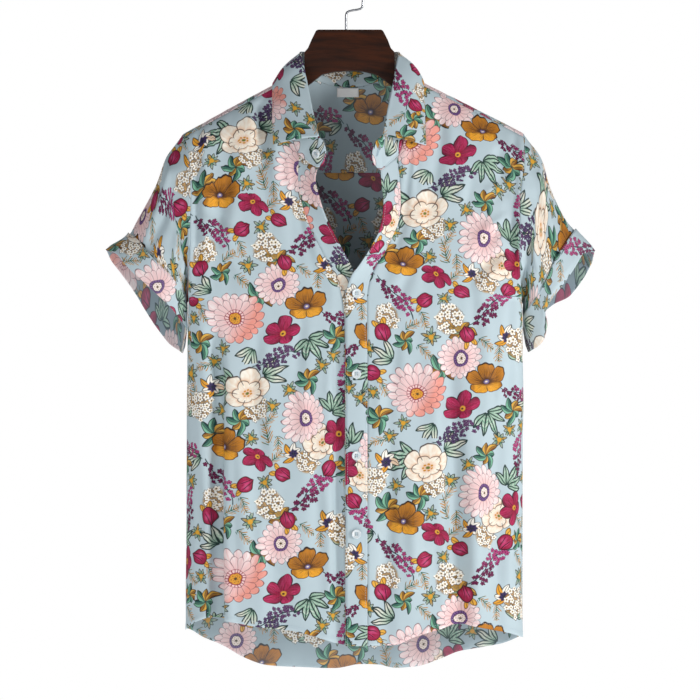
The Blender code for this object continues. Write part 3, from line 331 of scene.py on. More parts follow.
def along_line(points, count):
    """Places from 0 to 1 that cut a line of points into equal lengths, by its own numbering."""
    points = np.asarray(points, float)
    length = run_of(np.linalg.norm(np.diff(points, axis=0), axis=1))
    return np.interp(np.linspace(0.0, length[-1], count + 1), length, np.arange(len(points)))


def armhole_heights(side, top, count):
    """Heights from the underarm up to top, evenly spaced round the armhole."""
    z = np.linspace(UNDERARM_Z, top, ARMHOLE_STEPS)
    x = side_x(z, side)
    line = np.stack([x, half_depth(x, z) * armhole_share(z), z], axis=1)
    return np.interp(along_line(line, count), np.arange(len(z)), z)


def front_inner(edge_rows, neckline, finer):
    """Places down a front's inner edge: rows of its band, then of its neckline."""
    edge = columns(edge_rows)
    at = along_line(edge[:2].T, BAND_ROWS * finer)
    band = smooth(np.arange(edge.shape[1]), edge.T, at)
    neck = np.array(neckline, float)
    neck = smooth(np.arange(len(neck)), neck, along_line(neck, NECK_ROWS * finer))
    return band, np.concatenate([band[:, :2], neck[1:]])


def front_panel(side, edge_rows, neckline):
    top = ridge(side_x(SHOULDER_END_Z, side)) - FRONT_SEAM_DROP
    hem_z = (HEM_FRONT[0] if side == RIGHT else HEM_FRONT[-1])[1]

    def outer_of(finer):
        low = np.linspace(hem_z, UNDERARM_Z, LOW_ROWS * finer + 1)
        return np.concatenate([low, armhole_heights(side, top, ARMHOLE_ROWS * finer)[1:]])

    points, place = body_panel(
        side,
        FRONT,
        lambda finer: front_inner(edge_rows, neckline, finer)[1],
        outer_of,
        FRONT_COLUMNS,
        ACROSS,
        HEM_FRONT,
        lambda x: ridge(x) - FRONT_SEAM_DROP,
    )
    return front_inner(edge_rows, neckline, FINER)[0], points, place


def normals(face, closed=False):
    """Unit normals of a grid, by its columns and rows."""
    if closed:
        wide = np.concatenate([face[:, -1:], face, face[:, :1]], axis=1)
        over = np.gradient(wide, axis=1)[:, 1:-1]
    else:
        over = np.gradient(face, axis=1)
    found = np.cross(over, np.gradient(face, axis=0))
    return found / np.maximum(np.linalg.norm(found, axis=2, keepdims=True), 1e-9)


def crease_height(x, z, rows):
    """How far soft creases stand out: a rounded ridge with a shallow trough along one side."""
    total = np.zeros(x.shape)
    for x_from, z_from, x_to, z_to, bend, width, high in rows:
        length = np.hypot(x_to - x_from, z_to - z_from)
        way_x, way_z = (x_to - x_from) / length, (z_to - z_from) / length
        t = ((x - x_from) * way_x + (z - z_from) * way_z) / length
        off = (x - x_from) * -way_z + (z - z_from) * way_x - bend * 4 * t * (1 - t)
        fade = np.where((t > 0) & (t < 1), np.sin(np.pi * np.clip(t, 0, 1)) ** 1.3, 0.0)
        wide = width * (0.7 + 0.6 * np.clip(t, 0, 1))
        trough = 0.5 * np.exp(-(((off - 1.7 * wide) / wide) ** 2))
        total += high * fade * (np.exp(-((off / wide) ** 2)) - trough)
    return total


def ripples(across, along, phase):
    """The small unevenness of thin cloth that hangs by itself."""
    slow = np.sin(across / 31 + 1.7 * np.sin(along / 118 + phase)) * np.sin(along / 87 + 2.1 * phase)
    quick = np.sin(across / 11 + 2.3 * np.sin(along / 61 - phase) + phase) * np.sin(along / 39 + phase)
    fine = np.sin(across / 2.9 + 1.9 * np.sin(along / 47 + phase))
    fine = fine * np.sin(along / 71 + across / 53 + phase)
    return 0.5 * slow + 0.2 * quick + 0.26 * fine * np.abs(fine)


def edge_fade(shape, low, high, first, last):
    """From 0 at the named edges of a grid to 1 this many cells in. 0 cells leaves an edge as it is."""
    rows, across = np.arange(shape[0])[:, None], np.arange(shape[1])[None, :]
    fade = np.ones(shape)
    gaps = (rows, shape[0] - 1 - rows, across, shape[1] - 1 - across)
    for cells, gap in zip((low, high, first, last), gaps, strict=True):
        if cells:
            fade = fade * np.clip(gap / cells, 0, 1)
    return fade**0.7


def pressed_seams(shape, low=0, high=0, first=0, last=0):
    """How far a seam draws the cloth in at the edges of a grid."""
    sunk = np.zeros(shape)
    for edge, share in ((sunk[0], low), (sunk[-1], high), (sunk[:, 0], first), (sunk[:, -1], last)):
        np.maximum(edge, share * SEAM_GROOVE, out=edge)
    return sunk


def turned_hem(along):
    """How far the turned-up hem stands out."""
    return HEM_PROUD * np.clip((HEM_HEIGHT - (along - along[:1])) / HEM_SLOPE, 0, 1)


def raised(face, lift, closed=False):
    """The grid pushed out by this much everywhere."""
    return face + normals(face, closed) * lift[..., None]


def other_way(*grids):
    """The same grids with their columns the other way round."""
    return [grid[:, ::-1] for grid in grids]


def up_the_cloth(points, from_row):
    """Place of each point along its column, equal to its height on one row."""
    length = run_of(np.linalg.norm(np.diff(points, axis=0), axis=2))
    return length - length[from_row] + points[from_row, :, 2]


# The printed cloth. Light viscose in pale blue with a repeat of garden flowers, leaves and small sprigs,
# each drawn in ink here and laid out over the flat cloth, so that every cut piece carries its own part of
# the print.
class Ink:
    """A number that a material's own nodes work out, with the usual arithmetic."""

    tree = None
    sway = (0.0, 0.0)

    def __init__(self, socket):
        self.socket = socket

    def step(self, operation, *others):
        node = Ink.tree.nodes.new("ShaderNodeMath")
        node.operation = operation
        for socket, value in zip(node.inputs, (self, *others), strict=False):
            into(socket, value)
        return Ink(node.outputs[0])

    def __add__(self, other):
        return self.step("ADD", other)

    def __sub__(self, other):
        return self.step("SUBTRACT", other)

    def __rsub__(self, other):
        return self.step("MULTIPLY_ADD", -1.0, other)

    def __mul__(self, other):
        return self.step("MULTIPLY", other)

    def __pow__(self, other):
        return self.step("POWER", other)

    def __abs__(self):
        return self.step("ABSOLUTE")

    def sine(self):
        return self.step("SINE")

    def cosine(self):
        return self.step("COSINE")

    def whole(self):
        return self.step("ROUND")

    def least(self, other):
        return self.step("MINIMUM", other)

    def most(self, other):
        return self.step("MAXIMUM", other)


def into(socket, value):
    """Join a value, a colour or another node's output to a socket."""
    if isinstance(value, Ink):
        value = value.socket
    if isinstance(value, bpy.types.NodeSocket):
        Ink.tree.links.new(value, socket)
    else:
        socket.default_value = value


def put_together(*values):
    """One vector from up to three values."""
    node = Ink.tree.nodes.new("ShaderNodeCombineXYZ")
    for socket, value in zip(node.inputs, values, strict=False):
        into(socket, value)
    return node.outputs[0]


def taken_apart(vector):
    """A vector's three values."""
    node = Ink.tree.nodes.new("ShaderNodeSeparateXYZ")
    into(node.inputs[0], vector)
    return [Ink(socket) for socket in node.outputs]


def from_to(value, low, high):
    """0 where the value is low and 1 where it is high, straight between them."""
    node = Ink.tree.nodes.new("ShaderNodeMapRange")
    Ink.tree.links.new(value.socket, node.inputs["Value"])
    node.inputs["From Min"].default_value = low
    node.inputs["From Max"].default_value = high
    return Ink(node.outputs["Result"])


def distance(x, y):
    return (x * x + y * y) ** 0.5


def bearing(x, y):
    return y.step("ARCTAN2", x)


def dye(red, green, blue):
    """A printed colour from its 0 to 255 values."""
    share = np.array([red, green, blue]) / 255
    return tuple(np.where(share <= 0.04045, share / 12.92, ((share + 0.055) / 1.055) ** 2.4)) + (1.0,)


def over(below, colour, amount):
    """A colour laid over another, as much of it as amount says."""
    node = Ink.tree.nodes.new("ShaderNodeMix")
    node.data_type = "RGBA"
    into(node.inputs["Factor"], amount)
    into(node.inputs[6], below)
    into(node.inputs[7], colour)
    return node.outputs[2]


def layered(below, *inks):
    """Colours laid one over another, each as much as the amount beside it says."""
    for colour, amount in inks:
        below = over(below, colour, amount)
    return below


def streaks(x, y, fine):
    """Uneven brush marks, from 0 to 1, that change quickly along x."""
    node = Ink.tree.nodes.new("ShaderNodeTexNoise")
    into(node.inputs["Vector"], put_together(x, y))
    node.inputs["Scale"].default_value = fine
    node.inputs["Detail"].default_value = 2.0
    return from_to(Ink(node.outputs["Fac"]), 0.35, 0.65)


def place_of(kind):
    """Where a point lies in its nearest flower of this kind, across, up and which sort it is."""
    node = Ink.tree.nodes.new("ShaderNodeAttribute")
    node.attribute_name = kind
    x, y, sort = taken_apart(node.outputs["Vector"])
    return x + Ink.sway[0], y + Ink.sway[1], sort


def rosette(x, y, count, curl=0.0):
    """A ring of petals: a petal's angle, and how far along it, off its middle and out a point lies."""
    share = 2 * np.pi / count
    out = distance(x, y)
    turn = bearing(x, y) + out * curl
    number = (turn * (1 / share)).whole()
    folded = turn - number * share
    return number * share, out * folded.cosine(), out * folded.sine(), out


SORT_APART = 7.0


def florets(x, y, sort, size, petals):
    """Small flowers scattered about: the middle of each, how far out a point lies and the petals' edge."""
    node = Ink.tree.nodes.new("ShaderNodeTexVoronoi")
    node.voronoi_dimensions = "2D"
    node.inputs["Scale"].default_value = 1 / size
    node.inputs["Randomness"].default_value = 0.75
    into(node.inputs["Vector"], put_together(x + sort * SORT_APART, y, sort))
    middle_x, middle_y, _ = taken_apart(node.outputs["Position"])
    middle_x = middle_x - sort * SORT_APART
    off_x, off_y = x - middle_x, y - middle_y
    turn = bearing(off_x, off_y) * (petals / 2) + middle_x * 40.0
    edge = abs(turn.cosine()) ** 0.6 * 0.45 + 0.55
    return middle_x, middle_y, distance(off_x, off_y) * (1 / size), edge


def share_along(along, petal, turns, start, uneven):
    """How far along its petal a point lies, from 0 to 1, in a ring of petals of uneven length."""
    return along * ((petal * turns + start).sine() * uneven + (1 - uneven)) ** -1.0


def half_petal(part, point, wide):
    """Half the width of a pointed petal or leaf, this share of the way along it."""
    return (part * (1.0 - part)).most(0.0) ** point * wide


def star_sprigs(below):
    x, y, sort = place_of("sprig")
    petal, along, off, out = rosette(x, y, 9)
    part = share_along(along, petal, 4.0, 0.7, 0.17)
    within = half_petal(part, 0.8, 0.52) - abs(off)
    gold = from_to((petal * 3.0 + 0.9).sine(), 0.6, 0.8) * from_to(part, 0.95, 0.5)
    line = from_to(within, 0.105, 0.065).most(from_to(abs(off), 0.03, 0.014) * 0.8)
    star = layered(
        dye(236, 240, 220),
        (dye(84, 148, 114), from_to(part, 0.85, 0.3)),
        (dye(220, 164, 52), gold),
        (dye(18, 42, 42), line),
        (dye(218, 160, 44), from_to(out, 0.26, 0.2)),
    )
    side = abs(x - (y * 2.4).sine() * 0.16)
    rise = (y - side * 0.95) * 4.5
    twig = rise.whole()
    long = (twig * 2.7 + from_to(x, -0.01, 0.01) * 2.0).sine() * 0.18 + 0.46
    room = long * (1.0 - y * y * 0.6) - side
    needle = from_to(abs(rise - twig), 0.3, 0.17) * from_to(room, 0.0, 0.06)
    needle = needle.most(from_to(side, 0.06, 0.035)) * from_to(abs(y), 0.97, 0.9)
    yellowed = from_to((twig * 1.7).sine() * 0.4 + side + y * 0.4, -0.2, 0.5)
    spray = over(dye(24, 92, 72), dye(198, 136, 24), yellowed)
    star_here = from_to(within, 0.0, 0.02).most(from_to(out, 0.26, 0.22))
    return over(below, over(star, spray, sort), star_here * (1.0 - sort) + needle * sort)


def mint_leaves(below):
    x, y, sort = place_of("mint")
    out, turn = distance(x, y), bearing(x, y)
    apart = 0.62
    number = (turn * (1 / apart)).whole().least(2.0 - sort).most(sort - 2.0)
    folded = turn - number * apart
    along, off = out * folded.cosine(), abs(out * folded.sine())
    reach = abs(number) * -0.13 + 1.0
    part = along * reach ** -1.0
    within = half_petal(part, 0.78, 0.47) - off
    marks = streaks(part * 1.2 + off * 1.6, number, 9.0)
    vein = from_to(abs((part * 34.0 - off * 60.0).sine()), 0.25, 0.0) * 0.55
    line = from_to(within, 0.074, 0.046).most(from_to(off, 0.03, 0.013))
    leaf = layered(
        dye(228, 238, 226),
        (dye(118, 176, 144), marks),
        (dye(70, 132, 98), from_to(off, 0.08, 0.0) * from_to(part, 0.9, 0.3) * 0.7),
        (dye(240, 236, 222), sort * from_to(part, 0.2, 0.8)),
        (dye(52, 100, 76), vein),
        (dye(18, 44, 40), line),
    )
    return over(below, leaf, from_to(within, 0.0, 0.015) * from_to(part, 0.02, 0.05))


def dark_foliage(below):
    x, y, sort = place_of("foliage")
    petal, along, off, out = rosette(x, y, 7, 0.8)
    part = share_along(along, petal, 3.0, 1.0, 0.2)
    within = half_petal(part, 0.8, 0.72) - abs(off)
    shade = from_to(off, -0.12, 0.14)
    green = over(dye(16, 70, 66), dye(136, 200, 166), shade)
    ochre = over(dye(126, 72, 18), dye(240, 186, 76), shade)
    pied = layered(
        dye(252, 246, 236),
        (dye(230, 160, 44), from_to((petal * 3.0 + 0.4).sine(), 0.3, 0.5)),
        (dye(58, 40, 92), from_to(out + abs(off), 0.42, 0.34)),
    )
    veins = from_to(abs((part * 26.0 - abs(off) * 44.0).sine()), 0.3, 0.0) * 0.6 * (1.0 - sort * 0.7)
    veins = veins.most(from_to(abs(off), 0.028, 0.012) * 0.8)
    leaf = layered(
        green,
        (ochre, from_to((petal * 2.0 + 0.6).sine(), -0.1, 0.1)),
        (pied, sort),
        (dye(22, 28, 28), veins.most(from_to(within, 0.08, 0.046))),
    )
    return over(below, leaf, from_to(within, 0.0, 0.02))


def lilac_sprays(below):
    x, y, sort = place_of("lilac")

    def bend(at):
        return (at * 2.4 + 0.4).sine() * 0.2

    stem = from_to(abs(y - bend(x)), 0.026, 0.012) * from_to(abs(x), 0.98, 0.92)
    middle_x, middle_y, out, edge = florets(x, y, sort, size=0.155, petals=5)
    from_stem = abs(middle_y - bend(middle_x) + 0.03)
    room = (1.0 - middle_x * middle_x * 1.25).most(0.0) * 0.34
    there = from_to(room - from_stem, 0.0, 0.001)
    petal = edge * 0.58 - out
    bloom = layered(
        dye(112, 12, 70),
        (dye(184, 60, 124), from_to(middle_y * 9.0 + middle_x * 5.0 - out, -1.0, 1.4)),
        (dye(66, 66, 104), from_to(sort, 1.5, 1.6) * 0.8),
        (dye(48, 8, 42), from_to(petal, 0.17, 0.09).most(from_to(out, 0.14, 0.09))),
    )
    return layered(below, (dye(22, 54, 58), stem), (bloom, from_to(petal, 0.0, 0.04) * there))


def white_blossom(below):
    x, y, sort = place_of("blossom")
    middle_x, middle_y, out, edge = florets(x, y, sort, size=0.37, petals=5)
    from_middle = distance(middle_x, middle_y * 0.85)
    there = from_to(from_middle, 0.85, 0.849)
    petal = edge * 0.66 - out
    ground = over(dye(120, 92, 48), dye(218, 160, 62), streaks(x, y, 4.0))
    bloom = layered(
        dye(252, 250, 244),
        (dye(238, 214, 176), from_to(out, 0.32, 0.12)),
        (dye(54, 36, 28), from_to(petal, 0.16, 0.085).most(from_to(out, 0.14, 0.09))),
    )
    return layered(
        below,
        (ground, from_to(distance(x, y * 0.85), 0.86, 0.7) * 0.85),
        (bloom, from_to(petal, 0.0, 0.03) * there),
    )


def cream_magnolia(below):
    x, y, _ = place_of("magnolia")
    out, turn = distance(x, y), bearing(x, y)
    petal = abs((turn * 2.5 + 0.3).cosine())
    edge = petal ** 0.45 * 0.24 + 0.74
    inner = abs((turn * 2.5 + 0.3).sine()) ** 0.5 * 0.2 + 0.4
    marks = streaks(turn * 2.2, out, 3.0)
    shade = from_to(out - inner, 0.16, 0.0) * from_to(out - inner, -0.01, 0.0)
    lines = from_to(petal, 0.13, 0.04) * from_to(out, 0.4, 0.46)
    lines = lines.most(from_to(abs(out - inner), 0.028, 0.013))
    stamen = from_to((turn * 7.0).sine() + (out * 46.0).sine(), 0.0, 0.5) * from_to(out, 0.25, 0.2)
    bloom = layered(
        dye(252, 245, 232),
        (dye(240, 218, 194), marks * 0.8),
        (dye(232, 186, 148), shade * 0.8),
        (dye(226, 172, 132), from_to(out, 0.36, 0.12) * 0.7),
        (dye(78, 46, 34), lines * 0.9),
        (dye(206, 140, 36), stamen),
        (dye(104, 116, 44), from_to(out, 0.09, 0.06)),
        (dye(64, 42, 34), from_to(edge - out, 0.056, 0.03)),
    )
    return over(below, bloom, from_to(edge - out, 0.0, 0.014))


def pink_gerbera(below):
    x, y, sort = place_of("gerbera")
    out, turn = distance(x, y), bearing(x, y)
    spread = turn * 8.5 + (out * 5.0).sine() * 0.25
    gap, inner_gap = abs(spread.cosine()), abs(spread.sine())
    edge = gap ** 0.5 * 0.22 + (turn * 3.0).sine() * 0.03 + 0.75
    inner = inner_gap ** 0.5 * 0.15 + 0.55
    marks = streaks(turn * 6.0, out * 0.6, 3.2)
    warm = from_to(x * 0.85 - y * 0.5 + out * 0.2, 0.12, 0.6) * (1.0 - sort)
    second = from_to(inner - out, 0.0, 0.012)
    lines = from_to(gap, 0.26, 0.06) * from_to(out, 0.45, 0.6) * (1.0 - second)
    lines = lines.most(from_to(inner_gap, 0.24, 0.05) * second * 0.9)
    lines = lines.most(from_to(abs(out - inner), 0.018, 0.008) * 0.8)
    bead = from_to(abs((turn * 9.0).sine()), 0.25, 0.6) * from_to(abs(out - 0.265), 0.05, 0.03)
    grains = from_to((turn * 6.0).sine() * (out * 60.0).sine(), 0.3, 0.6)
    disc = layered(dye(228, 160, 52), (dye(246, 232, 222), sort), (dye(150, 84, 30), grains * 0.7))
    bloom = layered(
        dye(253, 240, 238),
        (dye(238, 190, 192), marks * 0.75),
        (dye(230, 158, 156), from_to(out, 0.78, 0.3) * 0.45),
        (dye(236, 142, 122), warm * 0.85),
        (dye(96, 36, 60), lines * 0.85),
        (dye(84, 32, 50), from_to(edge - out, 0.042, 0.02) * 0.9),
        (over(dye(150, 24, 56), dye(66, 34, 84), sort), from_to(out, 0.33, 0.31)),
        (over(dye(244, 208, 206), dye(120, 84, 140), sort), bead),
        (disc, from_to(out, 0.2, 0.185)),
        (dye(92, 66, 30), from_to(out, 0.06, 0.04)),
    )
    return over(below, bloom, from_to(edge - out, 0.0, 0.012))


def ochre_pansy(below):
    x, y, _ = place_of("pansy")
    out, turn = distance(x, y), bearing(x, y)
    gap = abs((turn * 2.5 - 0.8).cosine())
    edge = gap ** 0.5 * 0.28 + (turn * 2.0).sine() * 0.05 + 0.67 + (turn * 17.0).sine() * 0.014
    marks = streaks(turn * 7.0, out * 0.5, 3.0)
    low = from_to(y, -0.06, -0.3) * from_to(abs(x), 0.62, 0.5)
    hairs = from_to(abs((turn * 24.0 + marks * 2.0).sine()), 0.5, 0.15)
    hairs = hairs * from_to(out, 0.82, 0.5) * (1.0 - low * 0.7)
    lines = from_to(gap, 0.12, 0.03) * from_to(out, 0.22, 0.3)
    bloom = layered(
        dye(200, 128, 28),
        (dye(100, 54, 14), marks * from_to(out, 0.98, 0.4)),
        (dye(246, 172, 44), low * from_to(marks, 1.4, 0.3)),
        (dye(66, 36, 18), hairs * 0.75),
        (dye(62, 32, 20), from_to(distance(x, y * 1.2 - 0.05), 0.36, 0.18) * 0.9),
        (dye(120, 108, 156), from_to(distance(x * 1.2, y - 0.02), 0.16, 0.11)),
        (dye(240, 222, 200), from_to(distance(x, y - 0.03), 0.07, 0.04)),
        (dye(40, 20, 14), lines.most(from_to(edge - out, 0.078, 0.044))),
    )
    return over(below, bloom, from_to(edge - out, 0.0, 0.016))


def crimson_orchid(below):
    x, y, _ = place_of("orchid")
    petal, along, off, out = rosette(x, y, 5, 0.3)
    part = share_along(along, petal, 2.0, 0.5, 0.1)
    within = part.most(0.0) ** 0.9 * (1.0 - part).most(0.0) ** 0.55 * 1.02 - abs(off)
    marks = streaks(off * 9.0, along * 1.4 + petal, 2.2)
    lines = from_to(abs(off), 0.022, 0.01) * from_to(part, 0.85, 0.6) * 0.7
    bloom = layered(
        dye(148, 2, 52),
        (dye(208, 58, 116), marks * from_to(part, 0.15, 0.6) * 0.75),
        (dye(92, 0, 34), from_to(off, 0.0, 0.3) * 0.75),
        (dye(44, 2, 24), lines.most(from_to(within, 0.078, 0.044))),
        (dye(222, 160, 52), from_to(distance(x - 0.02, y * 0.8), 0.16, 0.12)),
        (dye(70, 40, 18), from_to(out, 0.08, 0.05)),
    )
    return over(below, bloom, from_to(within, 0.0, 0.016).most(from_to(out, 0.16, 0.12)))


def crimson_bud(below):
    x, y, _ = place_of("bud")
    sepal_x = abs(x) - 0.3
    sepal = distance(sepal_x * 1.5 - (y - 0.62) * 0.55, (y - 0.62) * 1.05)
    dark = from_to(sepal, 0.24, 0.32).most(from_to(abs(sepal_x), 0.05, 0.0))
    ochre = over(dye(236, 176, 62), dye(112, 70, 26), dark)
    low = abs((x * 5.4).sine()) * 0.16
    body = distance(x * 1.45, (y + 0.12) * 1.25 - low * from_to(y, 0.0, -0.5))
    marks = streaks(x * 3.0, y * 0.6, 2.4)
    petal = from_to(abs(abs(x) - 0.2 - y * 0.18), 0.045, 0.015) * from_to(y, 0.3, 0.1)
    bloom = layered(
        dye(150, 4, 54),
        (dye(206, 60, 118), marks * from_to(body, 0.8, 0.3)),
        (dye(216, 96, 144), from_to(distance(x + 0.2, y + 0.1), 0.26, 0.05) * 0.7),
        (dye(46, 2, 24), petal.most(from_to(body, 0.76, 0.84))),
    )
    return layered(below, (ochre, from_to(sepal, 0.38, 0.34)), (bloom, from_to(body, 0.9, 0.87)))


# Places of the flowers in one repeat of the print. Each next column of repeats is half a repeat higher.
REPEAT_WIDE, REPEAT_HIGH = 210.0, 320.0
# millimetres across and up, radius, degrees turned, which sort, how far it leans away from the eye
FLOWERS = {
    "mint": (
        (60, 292, 38, 205, 0, 0), (96, 300, 34, 25, 1, 0), (34, 92, 32, 150, 1, 0),
        (150, 28, 34, 300, 0, 0), (180, 256, 32, 60, 0, 0), (84, 14, 30, 235, 1, 0),
        (196, 92, 28, 80, 0, 0), (10, 200, 30, 190, 1, 0),
    ),
    "foliage": (
        (92, 82, 25, 0, 0, 0.1), (186, 30, 22, 40, 0, 0.1), (26, 232, 24, 20, 0, 0.1),
        (150, 296, 21, 75, 0, 0.1), (200, 190, 19, 10, 0, 0.1), (116, 128, 24, 30, 0, 0.1),
        (14, 22, 23, 65, 0, 0.1), (66, 246, 22, 50, 0, 0.1), (176, 122, 20, 0, 1, 0.1),
        (24, 288, 20, 25, 1, 0.1), (132, 206, 18, 15, 1, 0.1), (46, 116, 19, 80, 0, 0.1),
    ),
    "lilac": (
        (156, 158, 38, 25, 0.3, 0), (38, 170, 37, -62, 0.8, 0), (112, 322, 34, 8, 2.0, 0),
        (198, 296, 30, 70, 0.6, 0), (196, 50, 30, -30, 1.2, 0),
    ),
    "blossom": (
        (104, 142, 21, 0, 0.2, 0.1), (192, 112, 20, 0, 0.7, 0.1), (86, 262, 18, 0, 1.1, 0.1),
        (10, 264, 19, 0, 1.6, 0.1), (26, 146, 18, 0, 0.9, 0.1), (150, 196, 17, 0, 1.3, 0.1),
    ),
    "magnolia": (
        (74, 286, 31, 15, 0, 0.3), (166, 222, 26, 50, 0, 0.22),
    ),
    "gerbera": (
        (62, 56, 39, 0, 0, 0.16), (142, 250, 34, 80, 1, 0.26), (116, 96, 30, 40, 1, 0.1),
    ),
    "pansy": (
        (150, 72, 28, 5, 0, 0.34), (48, 218, 27, -12, 0, 0.26),
    ),
    "orchid": (
        (118, 38, 26, 20, 0, 0.3), (186, 230, 23, 75, 0, 0.2), (86, 196, 22, 150, 0, 0.36),
    ),
    "bud": (
        (20, 128, 17, 20, 0, 0), (126, 122, 16, 200, 0, 0), (72, 166, 16, 120, 0, 0),
        (178, 188, 16, 320, 0, 0), (8, 76, 16, 250, 0, 0), (118, 180, 15, 60, 0, 0),
    ),
}
# where each piece was cut from the cloth, across and up
CUT_FROM = {
    "front_right": (0, 0),
    "front_left": (196, 92),
    "back": (60, 130),
    "yoke": (20, 60),
    "placket_right": (90, 30),
    "placket_left": (160, 200),
    "sleeve_right": (120, 40),
    "sleeve_left": (30, 170),
    "cuff_right": (70, 110),
    "cuff_left": (150, 20),
    "collar_stand": (30, 240),
    "collar_fall": (10, 150),
}
# far outside any flower, and how far out of one it is still drawn, in its own radii
NO_FLOWER, FLOWER_REACH = 9.0, 1.6
SPRIGS, SPRIG_RADIUS, TRIED, SEED = 28, (18.0, 12.5), 3000, 8


def fill_ground():
    """Small sprigs where the repeat has most room left, a star and a spray by turns."""
    chance = np.random.default_rng(SEED)
    taken = [row[:3] for rows in FLOWERS.values() for row in rows]
    sprigs = []
    for number in range(SPRIGS):
        tried = chance.uniform((0.0, 0.0), (REPEAT_WIDE, REPEAT_HIGH), (TRIED, 2))
        room = np.full(TRIED, np.inf)
        for across, up, radius in taken:
            away = tried - (across, up)
            column = np.round(away[:, 0] / REPEAT_WIDE)
            away[:, 1] -= column * REPEAT_HIGH / 2
            away[:, 0] -= column * REPEAT_WIDE
            away[:, 1] -= np.round(away[:, 1] / REPEAT_HIGH) * REPEAT_HIGH
            room = np.minimum(room, np.hypot(*away.T) - radius)
        best = int(np.argmax(room))
        radius = float(np.clip(room[best] * 1.25, *SPRIG_RADIUS[::-1]))
        sprigs.append((*tried[best], radius, chance.uniform(0, 360), number % 2, 0))
        taken.append((*tried[best], radius))
    return tuple(sprigs)


FLOWERS["sprig"] = fill_ground()


def write_on_corners(mesh, name, values):
    mesh.attributes.new(name, "FLOAT_VECTOR", "CORNER").data.foreach_set("vector", values.ravel())


def lay_print(mesh, spots):
    """Write on every corner of a sheet's faces where it lies in the nearest flower of each kind."""
    middle = spots.mean(axis=1)
    for kind, rows in FLOWERS.items():
        nearest = np.full(len(spots), np.inf)
        found = np.full((*spots.shape[:2], 3), NO_FLOWER)
        for across, up, radius, degrees, sort, lean in rows:
            column = np.round((middle[:, 0] - across) / REPEAT_WIDE)
            drop = column * REPEAT_HIGH / 2
            row = np.round((middle[:, 1] - up - drop) / REPEAT_HIGH)
            origin = np.stack([across + column * REPEAT_WIDE, up + drop + row * REPEAT_HIGH], axis=1)
            away = np.linalg.norm(middle - origin, axis=1) / radius
            closer = (away < nearest) & (away < FLOWER_REACH)
            local = (spots[closer] - origin[closer][:, None]) / radius
            turn = np.radians(degrees)
            flat = local[..., 0] * np.cos(turn) + local[..., 1] * np.sin(turn)
            high = (local[..., 1] * np.cos(turn) - local[..., 0] * np.sin(turn)) / (1 - 0.6 * lean)
            found[closer, :, 0] = flat
            found[closer, :, 1] = high + lean * np.maximum(1 - flat**2 - high**2, 0)
            found[closer, :, 2] = sort
            nearest = np.where(closer, away, nearest)
        write_on_corners(mesh, kind, found)
    threads = np.zeros((*spots.shape[:2], 3))
    threads[..., :2] = spots * METRES
    write_on_corners(mesh, "threads", threads)


flower_print = bpy.data.node_groups.new("flower_print", "ShaderNodeTree")
flower_print.interface.new_socket("Ground", in_out="INPUT", socket_type="NodeSocketColor")
flower_print.interface.new_socket("Colour", in_out="OUTPUT", socket_type="NodeSocketColor")
Ink.tree = flower_print
inked = flower_print.nodes.new("NodeGroupInput").outputs[0]
HAND_SWAY, SWAY_SIZE = 0.2, 0.017
threads = flower_print.nodes.new("ShaderNodeAttribute")
threads.attribute_name = "threads"
by_hand = flower_print.nodes.new("ShaderNodeTexNoise")
by_hand.inputs["Scale"].default_value = 1 / SWAY_SIZE
by_hand.inputs["Detail"].default_value = 1.0
into(by_hand.inputs["Vector"], threads.outputs["Vector"])
Ink.sway = tuple((value - 0.5) * HAND_SWAY for value in taken_apart(by_hand.outputs["Color"])[:2])
for layer in (
    star_sprigs,
    mint_leaves,
    dark_foliage,
    lilac_sprays,
    white_blossom,
    cream_magnolia,
    pink_gerbera,
    ochre_pansy,
    crimson_orchid,
    crimson_bud,
):
    inked = layer(inked)
into(flower_print.nodes.new("NodeGroupOutput").inputs[0], inked)
Ink.sway = (0.0, 0.0)
THREADS_PER_METRE = 2300.0
# changes a metre along and across a slub in the yarn
SLUB_LONG, SLUB_FINE = 45.0, 900.0


def new_finish(name, fixed):
    """A material to draw in, and its shader with these sockets set."""
    made = bpy.data.materials.new(name)
    made.use_nodes = True
    Ink.tree = made.node_tree
    shader = made.node_tree.nodes["Principled BSDF"]
    for socket, value in fixed.items():
        shader.inputs[socket].default_value = value
    return made, shader


def paint(shader, colour, rough):
    into(shader.inputs["Base Color"], colour)
    into(shader.inputs["Roughness"], rough)


def emboss(shader, height, strength, deep):
    """Raise the surface by this height's pattern, as far as deep in metres."""
    bump = Ink.tree.nodes.new("ShaderNodeBump")
    bump.inputs["Strength"].default_value = strength
    bump.inputs["Distance"].default_value = deep
    into(bump.inputs["Height"], height)
    into(shader.inputs["Normal"], bump.outputs[0])


def viscose(name, ground, veil_and_shade, amount):
    """Thin printed viscose; the veil pales its print, and on inner faces darkens it as painted shade."""
    soft = {"Sheen Weight": 0.015, "Sheen Roughness": 0.4, "Specular IOR Level": 0.17}
    made, shader = new_finish(name, soft)
    print_on = Ink.tree.nodes.new("ShaderNodeGroup")
    print_on.node_tree = flower_print
    print_on.inputs[0].default_value = ground
    across, up, _ = place_of("threads")
    warp = streaks(across * SLUB_FINE, up * SLUB_LONG, 1.0)
    slubs = warp * 0.5 + streaks(across * SLUB_LONG, up * SLUB_FINE, 1.0) * 0.5
    colour = over(print_on.outputs[0], veil_and_shade, amount)
    colour = over(colour, ground, slubs * 0.045)
    per_metre = np.pi * THREADS_PER_METRE
    weave = (across * per_metre).sine() * (up * per_metre).sine()
    paint(shader, colour, slubs * 0.1 + 0.56)
    emboss(shader, weave * 0.4 + slubs, 0.22, 0.00025)
    return made


